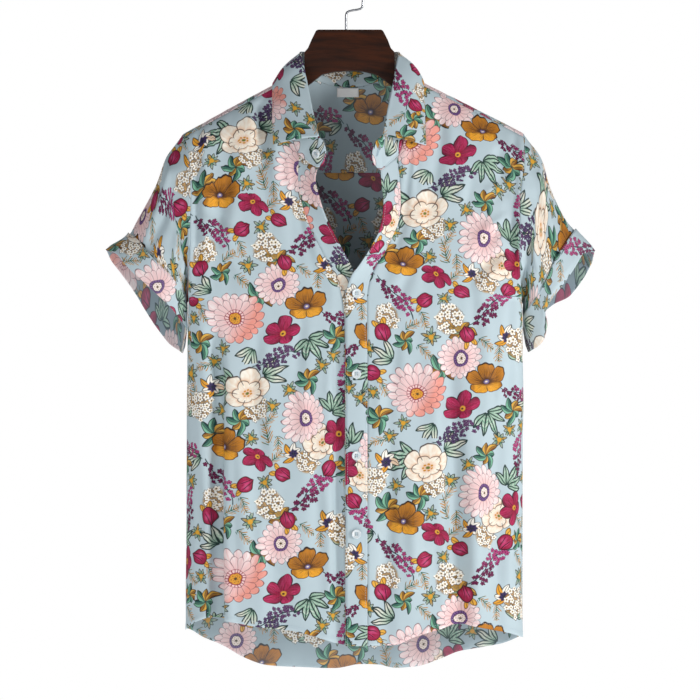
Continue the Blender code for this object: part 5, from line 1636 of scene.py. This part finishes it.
# the same for the leaf's outer edge
LEAF = (
    (0, 4.4, 4.4, 41, -151.8, -151.8), (0.08, -26.6, 35.3, 40, -151.2, -151.2),
    (0.166, -54.3, 61.8, 36, -147.8, -147.8), (0.23, -73, 79.2, 27, -140.6, -139.3),
    (0.3, -86, 90.5, 12, -133.5, -130.8), (0.35, -91, 96, -1, -132.8, -129.4),
    (0.395, -92.2, 97.5, -11, -136.7, -133.6), (0.5, -92, 97.6, -22, -153, -153),
    (0.605, -91.8, 98.1, -29.5, -167.2, -167.2), (0.7, -91.7, 98.3, -35, -180, -180),
    (0.79, -91.2, 98.7, -39, -192.6, -192.6), (0.85, -90.8, 99, -41.5, -202.7, -202.7),
    (0.932, -90.2, 99.6, -43, -213.9, -215.2),
)
# lower edge of the stand's rounded end: x, y, height
TAB_RIGHT = ((-27.6, -64, -238.5), (-25.1, -66, -231.5))
TAB_LEFT = ((35.5, -64, -240.5), (32.3, -66, -233))


def collar_edge(rows, side, where):
    """Points on the roll or on the leaf's outer edge, on one side of the neck."""
    share, right_x, left_x, y, right_z, left_z = columns(rows)
    x, z = (right_x, right_z) if side == RIGHT else (left_x, left_z)
    return smooth(share, np.stack([x, y, z], axis=1), where)


def half_collar(side, band_top, neckline, yoke_neck, tab):
    """Lower edge, roll and outer edge of one half, from the middle of the back to its front."""
    lower = np.concatenate([yoke_neck, neckline[1:-1], band_top])
    length = run_of(np.linalg.norm(np.diff(lower, axis=0), axis=1))
    share = TAB_SHARE * length / length[-1]
    share = np.concatenate([share, [(TAB_SHARE + 1) / 2, 1.0]])
    lower = np.concatenate([lower, np.array(tab)])
    keep = np.concatenate([[True], np.diff(share) > 1e-6])
    even = np.linspace(0.0, 1.0, COLLAR_COLUMNS + 1)
    lower = smooth(share[keep], lower[keep], even)
    return lower, collar_edge(ROLL, side, even), collar_edge(LEAF, side, even[even <= TAB_SHARE])


halves = {}
for side, band_grid, tab in ((RIGHT, under_band, TAB_RIGHT), (LEFT, over_band, TAB_LEFT)):
    middle = HALF_BACK_COLUMNS * BACK_ACROSS
    neck = yoke[-1, middle : middle + side * NECK_COLUMNS * BACK_ACROSS + side : side]
    neckline = fronts[side][BAND_ROWS * FINER :, 0][::-1]
    halves[side] = half_collar(side, band_grid[-1], neckline, neck, tab)


def joined(part):
    right, left = halves[RIGHT][part], halves[LEFT][part]
    return np.concatenate([right[:0:-1], left])


def collar_place(face):
    across = across_the_cloth(face)
    along = run_of(np.linalg.norm(np.diff(face, axis=0), axis=2))
    return np.stack([np.broadcast_to(across - across[len(across) // 2], along.shape), along], axis=2)


up = np.linspace(0.0, 1.0, STAND_ROWS + 1)[:, None, None]
stand = joined(0)[None] * (1 - up) + joined(1)[None] * up
out = -normals(stand)
stand_face = stand + out * STAND
place = collar_place(stand)
sunk = pressed_seams(place.shape[:2], low=0.8, high=1.0, first=0.8, last=0.8)
name = "collar_stand"
face, place, sunk = other_way(stand_face, place + CUT_FROM[name], sunk)
made = cloth(name + "_cloth", face, place, collar_outside, collar_outside, sunk, STAND)
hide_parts(name)
inner = (stand_face - out * STAND)[:, ::-1]
lines = []
for edge in ("low", "high"):
    line, normal = beside(inner, edge, STAND_STITCHES, -0.1)
    lines.append((line, -normal))
lines.append(beside(face, "low", STAND_STITCHES))
sewn = stitches(name + "_stitches", lines, pale_thread, "collar_cloth", seed=23)

leaf = joined(2)
ends = (stand.shape[1] - len(leaf)) // 2
start = stand[-1, ends:-ends]
away = out[-1, ends:-ends]
rise = stand[-1, ends:-ends] - stand[-2, ends:-ends]
rise = rise / np.linalg.norm(rise, axis=1, keepdims=True)
begin = start + away * (STAND + ROLL_OFF)
share = np.linspace(0.0, 1.0, FALL_ROWS + 1)[:, None, None]
fall = begin[None] + (leaf - begin)[None] * share
fall = raised(fall, np.sin(np.pi * share[..., 0]) * FALL_BULGE)
angle = np.linspace(np.pi, 0.0, ROLL_ROWS + 2)[:-1, None, None]
half = (STAND + ROLL_OFF) / 2
centre = start + away * half
roll = centre + away * np.cos(angle) * half + rise * (np.sin(angle) * half + 0.3)
fall = np.concatenate([roll, fall])
place = collar_place(fall)
across, along = place[..., 0], place[..., 1]
lift = 0.6 * np.sin(across / 19 + 1.2) * np.sin(along / 14) + 0.3 * np.sin(across / 7)
fall = raised(fall, lift * edge_fade(lift.shape, 6, 2, 2, 2))
sunk = pressed_seams(lift.shape, high=0.8, first=0.8, last=0.8)
name = "collar_fall"
made = cloth(name + "_cloth", fall, place + CUT_FROM[name], collar_outside, collar_inside_painted_shade, sunk, FALL)
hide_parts(name)
lines = [beside(fall, edge, FALL_STITCHES) for edge in ("high", "first", "last")]
sewn = stitches(name + "_stitches", lines, pale_thread, "collar_cloth", seed=29)

# The label. A small blank strip of white woven tape, folded under at its ends and sewn inside the back
# neck.
LABEL_X, LABEL_Z = (-11.5, 16), (-137.6, -149)
LABEL, LABEL_OFF, LABEL_STITCHES = 0.7, 1.9, 1.1
RIBS_ACROSS, RIBS_UP = 9000.0, 14000.0
label_white, shader = new_finish("label_white_tape", {"Sheen Weight": 0.15})
across, up, _ = place_of("threads")
ribs = ((across * RIBS_ACROSS).sine() * (up * RIBS_UP).sine()) * 0.5 + 0.5
paint(shader, over(dye(252, 252, 250), dye(232, 234, 236), ribs * 0.5), ribs * 0.15 + 0.45)
emboss(shader, ribs, 0.3, 0.0002)
x = np.linspace(*LABEL_X, 15)[None, :]
z = np.linspace(*LABEL_Z, 7)[:, None]
y = half_depth(x, z) - LABEL_OFF + 0.25 * np.sin((x - LABEL_X[0]) / 5)
face = np.stack(np.broadcast_arrays(x, y, z), axis=2)
place = face[..., ::2].copy()
sunk = pressed_seams(face.shape[:2], low=0.8, high=0.8, first=0.6, last=0.6)
made = cloth("label_tape", face, place, label_white, label_white, sunk, LABEL)
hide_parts("label")
lines = [beside(face, edge, LABEL_STITCHES) for edge in ("first", "last")]
small = {"spacing": 1.5, "length": 1.1, "thickness": 0.14}
sewn = stitches("label_stitches", lines, pale_thread, "label_white", seed=31, **small)

# The buttonholes. Down the left placket and in the left end of the stand, each a slit closed round with
# close bar stitches, and each under its button where the shirt is fastened.
BUTTONHOLE_HALF, BUTTONHOLE_WIDE = 7.6, 1.5
PLACKET_BUTTON_X = 13.0
PLACKET_BUTTON_Z = (-397.5, -497.0, -597.5, -693.5)
STAND_HOLE_X, STAND_HOLE_Z, STAND_HOLE_LEAN = 40.0, -222.5, 0.3
HOLE_STEPS, HOLE_SQUARENESS, SLIT_SHORTER, ABOVE_CLOTH = 48, 0.35, 0.8, 0.15


def nearest_on(face, x, z):
    """The grid's point in front of this place, and its normal."""
    away = np.hypot(face[..., 0] - x, face[..., 2] - z)
    spot = np.unravel_index(np.argmin(away), away.shape)
    return face[spot], normals(face)[spot]


def hole_outline(face, x, z, lean=0.0):
    """A narrow loop round the slit, on the cloth, and the normals along it."""
    middle, normal = nearest_on(face, x, z)
    normal = normal * (-1 if normal[1] > 0 else 1)
    up = np.array([np.sin(lean), 0.0, np.cos(lean)])
    up = up - normal * (up @ normal)
    up = up / np.linalg.norm(up)
    aside = np.cross(normal, up)
    turn = np.linspace(0.0, 2 * np.pi, HOLE_STEPS + 1)
    tall, wide = (np.sign(wave) * np.abs(wave) ** HOLE_SQUARENESS for wave in (np.sin(turn), np.cos(turn)))
    tall, wide = tall * (BUTTONHOLE_HALF - SLIT_SHORTER), wide * BUTTONHOLE_WIDE / 2
    forward = middle[1] - ((x - middle[0]) * normal[0] + (z - middle[2]) * normal[2]) / normal[1]
    place = np.array([x, forward, z])
    line = place + up * tall[:, None] + aside * wide[:, None] + normal * ABOVE_CLOTH
    return line, np.broadcast_to(normal, line.shape)


loops = [hole_outline(over_band, PLACKET_BUTTON_X, z) for z in PLACKET_BUTTON_Z]
loops.append(hole_outline(stand_face, STAND_HOLE_X, STAND_HOLE_Z, STAND_HOLE_LEAN))
close = {"spacing": 0.5, "length": 1.5, "thickness": 0.22, "turn": np.pi / 2}
stitches("buttonhole_stitches", loops, pale_thread, "placket_cloth", seed=17, **close)

# The buttons. Small dished discs of pearly resin with four holes, sewn through with thread, the first on
# the right end of the stand and the others down the right placket, through the holes of the left.
BUTTON_THICK, BUTTON_DISH = 2.4, 0.5
BUTTON_HOLE_RADIUS, BUTTON_HOLE_OUT = 0.85, 1.7
BUTTON_FACES, BUTTON_HOLE_FACES = 48, 16
STRAND_RADIUS, STRAND_OFF, STRAND_SIDES, STRAND_STEPS = 0.3, 0.28, 8, 12


def lathe(outline, faces):
    """A round mesh about z from an outline of radius and height that starts and ends on the axis."""
    shape = bmesh.new()
    points = [shape.verts.new((radius * METRES, 0.0, height * METRES)) for radius, height in outline]
    edges = [shape.edges.new(pair) for pair in zip(points[:-1], points[1:], strict=True)]
    about = {"axis": (0, 0, 1), "cent": (0, 0, 0), "angle": 2 * np.pi}
    bmesh.ops.spin(shape, geom=points + edges, steps=faces, use_merge=True, **about)
    bmesh.ops.remove_doubles(shape, verts=shape.verts, dist=1e-6)
    bmesh.ops.recalc_face_normals(shape, faces=shape.faces)
    return shape


def to_object(name, shape, material):
    mesh = bpy.data.meshes.new(name)
    shape.to_mesh(mesh)
    shape.free()
    mesh.materials.append(material)
    mesh.polygons.foreach_set("use_smooth", [True] * len(mesh.polygons))
    return in_scene(name, mesh)


def skin(shape, rings):
    """Faces between rings of as many points each."""
    around = len(rings[0])
    for first, second in zip(rings[:-1], rings[1:], strict=True):
        for step in range(around):
            after = (step + 1) % around
            shape.faces.new((first[step], first[after], second[after], second[step]))


def applied(piece):
    """The piece with its modifiers worked into a plain mesh."""
    ready = piece.evaluated_get(bpy.context.evaluated_depsgraph_get())
    mesh = bpy.data.meshes.new_from_object(ready)
    piece.modifiers.clear()
    piece.data = mesh
    return piece


def seat_of(node):
    """The middle of a button's underside in the fixed model, and the way that its top faces."""
    points = np.array([vertex.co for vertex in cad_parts[node].data.vertices])
    points = np.unique(np.round(points, 7), axis=0)
    middle = (points.min(axis=0) + points.max(axis=0)) / 2
    normal = np.linalg.svd(points - points.mean(axis=0), full_matrices=False)[2][2]
    normal = normal * (-1 if normal[1] > 0 else 1)
    reach = (points - middle) @ normal
    return middle + normal * reach.min(), normal


pearl, shader = new_finish(
    "button_pearl_finish",
    {
        "Coat Weight": 0.5,
        "Coat Roughness": 0.12,
        "Subsurface Weight": 0.12,
        "Subsurface Radius": (0.002, 0.002, 0.002),
        "Subsurface Scale": 1.0,
    },
)
cloud = Ink.tree.nodes.new("ShaderNodeTexNoise")
cloud.inputs["Scale"].default_value = 260.0
cloud.inputs["Detail"].default_value = 3.0
cloud.inputs["Distortion"].default_value = 1.2
into(cloud.inputs["Vector"], Ink.tree.nodes.new("ShaderNodeTexCoord").outputs["Object"])
swirl = from_to(Ink(cloud.outputs["Fac"]), 0.35, 0.65)
paint(shader, over(dye(238, 240, 240), dye(206, 220, 228), swirl), swirl * 0.12 + 0.16)

# distance from the middle, height
BUTTON_OUTLINE = (
    (0, 0), (4.4, 0), (5.1, 0.15), (5.6, 0.55), (5.8, 1.1), (5.8, 1.6), (5.65, 2.05), (5.35, 2.32),
    (4.95, 2.4), (4.6, 2.34), (4.25, 2.12), (3.9, 1.96), (3.4, 1.9), (0, 1.9),
)
for number in range(1, 6):
    node = f"button_{number}"
    place, normal = seat_of(node)
    side_way = np.cross((0.0, 0.0, 1.0), normal)
    side_way = side_way / np.linalg.norm(side_way)
    basis = np.stack([side_way, np.cross(normal, side_way), normal, place], axis=1)
    matrix = Matrix([*basis.tolist(), [0.0, 0.0, 0.0, 1.0]])
    disc = to_object(node + "_pearl", lathe(BUTTON_OUTLINE, BUTTON_FACES), pearl)
    drill = bmesh.new()
    wide = BUTTON_HOLE_RADIUS * METRES
    for corner in range(4):
        angle = np.pi / 4 + corner * np.pi / 2
        at = np.array([np.cos(angle), np.sin(angle), 0]) * BUTTON_HOLE_OUT + (0, 0, BUTTON_THICK / 2)
        bmesh.ops.create_cone(
            drill,
            cap_ends=True,
            segments=BUTTON_HOLE_FACES,
            radius1=wide,
            radius2=wide,
            depth=3 * BUTTON_THICK * METRES,
            matrix=Matrix.Translation((at * METRES).tolist()),
        )
    holes = to_object("drill", drill, pearl)
    cut = disc.modifiers.new("holes", "BOOLEAN")
    cut.operation = "DIFFERENCE"
    cut.solver = "EXACT"
    cut.object = holes
    applied(disc)
    bpy.data.objects.remove(holes)
    disc.data.transform(matrix)
    disc.data.set_sharp_from_angle(angle=np.radians(50))
    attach(disc, "root")
    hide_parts(node)

    sewn = bmesh.new()
    for half in (-1, 1):
        reach = BUTTON_HOLE_OUT * np.sin(np.pi / 4)
        turn = np.linspace(0.0, np.pi, STRAND_STEPS + 1)
        arc_x = -np.cos(turn) * reach
        arc_z = BUTTON_THICK - BUTTON_DISH - 0.5 + 1.0 * np.sin(turn) ** 0.6
        for strand in (-STRAND_OFF, STRAND_OFF):
            rings = []
            for x, z in zip(arc_x, arc_z, strict=True):
                ring = []
                for step in range(STRAND_SIDES):
                    angle = step * 2 * np.pi / STRAND_SIDES
                    y = half * reach + strand + STRAND_RADIUS * np.cos(angle)
                    spot = (x, y, z + STRAND_RADIUS * np.sin(angle))
                    ring.append(sewn.verts.new([value * METRES for value in spot]))
                rings.append(ring)
            skin(sewn, rings)
            sewn.faces.new(rings[0])
            sewn.faces.new(rings[-1][::-1])
    bmesh.ops.recalc_face_normals(sewn, faces=sewn.faces)
    thread = to_object(node + "_thread", sewn, pale_thread)
    thread.data.transform(matrix)
    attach(thread, "root")

# The hanger's wood. One flat board sawn to the shape of the shoulders and the neck, its edges rounded over,
# stained dark and varnished.
WOOD_HALF, ARM_DROP, ARM_TIP, NECK_GAP = 6.5, 3.0, 6.0, 3.5
WOOD_BEVEL, BEVEL_STEPS = 4.8, 8
ARM_END_X = {RIGHT: -189.0, LEFT: 207.0}
ARM_STEPS, ARCH_STEPS = 34, 24
# x, height of the wood's middle, from its lower right corner round its top to its lower left
WOOD_TOP = (
    (-56, -122.5), (-52, -118), (-51.8, -95.5), (-47.5, -90.5), (-43, -80), (-37.5, -69),
    (-35, -67.5), (43.8, -67.5), (46.3, -69), (52, -80), (56, -90.5), (60.6, -95.5), (60.8, -118),
    (64.5, -121.5),
)
# share of an arm from its end to the middle, how deep the arm is there
ARM_DEPTH = ((0, 14), (0.15, 20), (0.5, 25), (1, 24))
WOOD_ARCH = ((-30, -123.5), (-12, -119.8), (5, -118.8), (22, -119.8), (40, -124.5))

varnish = {"Specular IOR Level": 0.2, "Coat Weight": 0.08, "Coat Roughness": 0.25}
stained, shader = new_finish("dark_varnished_wood", varnish)
x, y, z = within_piece()
rise = z + x * x * 1.6 + (x * 31.0).sine() * 0.004
grain = streaks(x * 11.0 + (z * 40.0).sine() * 0.5, rise * 95.0 + y * 60.0, 1.0)
pores = streaks(x * 60.0, z * 1500.0 + y * 900.0, 1.0)
brown = over(dye(66, 31, 13), dye(32, 13, 5), grain)
brown = over(brown, dye(24, 9, 4), from_to(pores, 0.72, 0.95) * 0.5)
paint(shader, brown, pores * 0.1 + grain * 0.06 + 0.34)
emboss(shader, pores * 0.5 + grain * 0.5, 0.12, 0.0003)

outline = []
for side in (RIGHT, LEFT):
    neck_corner = WOOD_TOP[0][0] if side == RIGHT else WOOD_TOP[-1][0]
    x = np.linspace(ARM_END_X[side], neck_corner + side * NECK_GAP, ARM_STEPS)
    top = np.stack([x, ridge(x) - ARM_DROP], axis=1)
    low_x = np.linspace(x[0] - side * ARM_TIP, x[-1], ARM_STEPS)
    deep = smooth(*columns(ARM_DEPTH), (low_x - x[0]) / (x[-1] - x[0]))
    low = np.stack([low_x, ridge(low_x) - ARM_DROP - deep], axis=1)
    outline.append((top, low))
(right_top, right_low), (left_top, left_low) = outline
arch = np.array(WOOD_ARCH)
arch_x = np.linspace(arch[-1, 0], arch[0, 0], ARCH_STEPS + 1)
arch = np.stack([arch_x, smooth(arch[:, 0], arch[:, 1], arch_x)], axis=1)
loop = np.concatenate([right_top, WOOD_TOP, left_top[::-1], left_low, arch, right_low[::-1]])
board = bmesh.new()
corners = [board.verts.new((x * METRES, -WOOD_HALF * METRES, z * METRES)) for x, z in loop]
front_face = board.faces.new(corners)
moved = bmesh.ops.extrude_face_region(board, geom=[front_face])
lifted = [item for item in moved["geom"] if isinstance(item, bmesh.types.BMVert)]
bmesh.ops.translate(board, verts=lifted, vec=(0, 2 * WOOD_HALF * METRES, 0))
bmesh.ops.recalc_face_normals(board, faces=board.faces)
bmesh.ops.triangulate(board, faces=[face for face in board.faces if len(face.verts) > 4])
wood = to_object("hanger_board", board, stained)
rounding = wood.modifiers.new("rounded_edges", "BEVEL")
rounding.width = WOOD_BEVEL * METRES
rounding.segments = BEVEL_STEPS
rounding.limit_method = "ANGLE"
rounding.angle_limit = np.radians(60)
applied(wood)
wood.data.set_sharp_from_angle(angle=np.radians(40))
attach(wood, "root")
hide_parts("hanger_wood")

# The hook. Polished steel wire, straight where it is screwed into the wood, then bent aside and round over
# the rail, with its end rounded off.
WIRE_RADIUS, HOOK_RADIUS, HOOK_TURN = 1.4, 21.5, 200.0
WIRE_SIDES, STEM_STEPS, HOOK_STEPS = 20, 36, 59
# how far past the wire's end its rounding is, and how thick it is there, in the wire's radii
WIRE_END = np.array([(0.55, 0.83), (0.85, 0.53)])
# x, height of the wire's middle from the wood to the round part
HOOK_STEM = (
    (0, -83), (0, -66), (0, -52), (0.5, -47.2), (3, -44.2), (8, -42.9), (14, -42), (18.4, -40.7),
    (20.5, -37.6), (21, -31),
)

steel, shader = new_finish("polished_steel", {"Metallic": 1.0})
x, y, z = within_piece()
drawn = streaks(x * 300.0 + y * 2600.0, z * 300.0, 1.0)
paint(shader, over(dye(196, 198, 202), dye(158, 160, 166), drawn), drawn * 0.12 + 0.12)

stem = np.array(HOOK_STEM)
turn = np.radians(np.linspace(0.0, HOOK_TURN, HOOK_STEPS + 1))
arc = np.stack([np.cos(turn), np.sin(turn)], axis=1) * HOOK_RADIUS + (0, WIRE_RADIUS - HOOK_RADIUS)
stem = smooth(np.arange(len(stem)), stem, np.linspace(0, len(stem) - 1, STEM_STEPS + 1))
line = np.concatenate([stem, arc])
ahead = np.gradient(line, axis=0)
ahead = ahead / np.linalg.norm(ahead, axis=1, keepdims=True)
centres = np.concatenate([line, line[-1] + ahead[-1] * WIRE_END[:, :1] * WIRE_RADIUS])
thick = np.concatenate([np.ones(len(line)), WIRE_END[:, 1]]) * WIRE_RADIUS
ahead = np.concatenate([ahead, ahead[-1:], ahead[-1:]])
wire = bmesh.new()
rings = []
for (x, z), (way_x, way_z), radius in zip(centres, ahead, thick, strict=True):
    ring = []
    for step in range(WIRE_SIDES):
        angle = step * 2 * np.pi / WIRE_SIDES
        out, back_by = radius * np.cos(angle), radius * np.sin(angle)
        spot = (x - way_z * out, back_by, z + way_x * out)
        ring.append(wire.verts.new([value * METRES for value in spot]))
    rings.append(ring)
skin(wire, rings)
tip = line[-1] + ahead[-1] * WIRE_RADIUS
point = wire.verts.new((tip[0] * METRES, 0.0, tip[1] * METRES))
for step in range(WIRE_SIDES):
    wire.faces.new((rings[-1][step], rings[-1][(step + 1) % WIRE_SIDES], point))
wire.faces.new(rings[0][::-1])
bmesh.ops.recalc_face_normals(wire, faces=wire.faces)
hook = to_object("hanger_wire", wire, steel)
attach(hook, "root")
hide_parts("hanger_hook")

# The studio. A pale floor stands well below the hem in a white room, and three large soft panels light the
# shirt: the key from the wearer's left in front, a weak fill from the right and one from above behind it.
FLOOR_Z, FLOOR_HALF, FLOOR_BACK_Y = -1.25, 6, 1.8
# place, aim, size, power, tint
PANELS = (
    ((2.6, -1.9, -0.15), (0.0, 0.0, -0.45), 0.8, 52.0, (1.0, 0.99, 0.975)),
    ((-1.6, -2.8, -0.45), (0.0, 0.0, -0.45), 1.6, 14.0, (0.97, 0.985, 1.0)),
    ((0.0, 1.9, 0.9), (0.0, 0.0, -0.4), 1.6, 24.0, (1.0, 1.0, 1.0)),
)
floor_mesh = bpy.data.meshes.new("floor")
corners = [(-FLOOR_HALF, -FLOOR_HALF), (FLOOR_HALF, -FLOOR_HALF)]
corners += [(FLOOR_HALF, FLOOR_BACK_Y), (-FLOOR_HALF, FLOOR_BACK_Y)]
floor_mesh.from_pydata([(x, y, FLOOR_Z) for x, y in corners], [], [(0, 1, 2, 3)])
floor = in_scene("floor", floor_mesh)
pale, _ = new_finish(
    "pale_floor",
    {
        "Base Color": (0.82, 0.82, 0.82, 1.0),
        "Roughness": 0.7,
        "Emission Color": (1.0, 1.0, 1.0, 1.0),
        "Emission Strength": 0.75,
    },
)
floor_mesh.materials.append(pale)

for number, (where, aim, size, power, tint) in enumerate(PANELS):
    light = bpy.data.lights.new(f"panel_{number + 1}", "AREA")
    light.shape = "SQUARE"
    light.size = size
    light.energy = power
    light.color = tint
    lamp = in_scene(light.name, light)
    lamp.location = where
    way = np.array(aim) - np.array(where)
    lamp.rotation_euler = Vector(way.tolist()).to_track_quat("-Z", "Y").to_euler()

world = bpy.data.worlds.new("white_room")
bpy.context.scene.world = world
world.use_nodes = True
Ink.tree = world.node_tree
nodes = Ink.tree.nodes
nodes.clear()
seen = nodes.new("ShaderNodeBackground")
seen.inputs["Color"].default_value = (1.0, 1.0, 1.0, 1.0)
lit = nodes.new("ShaderNodeBackground")
lit.inputs["Color"].default_value = (0.93, 0.96, 1.0, 1.0)
lit.inputs["Strength"].default_value = 0.19
either = nodes.new("ShaderNodeMixShader")
into(either.inputs[0], nodes.new("ShaderNodeLightPath").outputs["Is Camera Ray"])
into(either.inputs[1], lit.outputs[0])
into(either.inputs[2], seen.outputs[0])
into(nodes.new("ShaderNodeOutputWorld").inputs["Surface"], either.outputs[0])
bpy.context.scene.view_settings.view_transform = "Standard"

# The camera stands four metres in front of the shirt, level with its middle, and sees 0.875 m across there.
CAMERA_X, CAMERA_AWAY, CAMERA_Z = 0.005, 4.0, -0.4675
SENSOR_MM, VIEW_WIDE = 36.0, 0.875
camera_data = bpy.data.cameras.new("camera")
camera_data.sensor_width = SENSOR_MM
camera_data.lens = SENSOR_MM * CAMERA_AWAY / VIEW_WIDE
camera_data.clip_end = 50.0
camera = in_scene("camera", camera_data)
camera.location = (CAMERA_X, -CAMERA_AWAY, CAMERA_Z)
camera.rotation_euler = (np.pi / 2, 0.0, 0.0)
bpy.context.scene.camera = camera
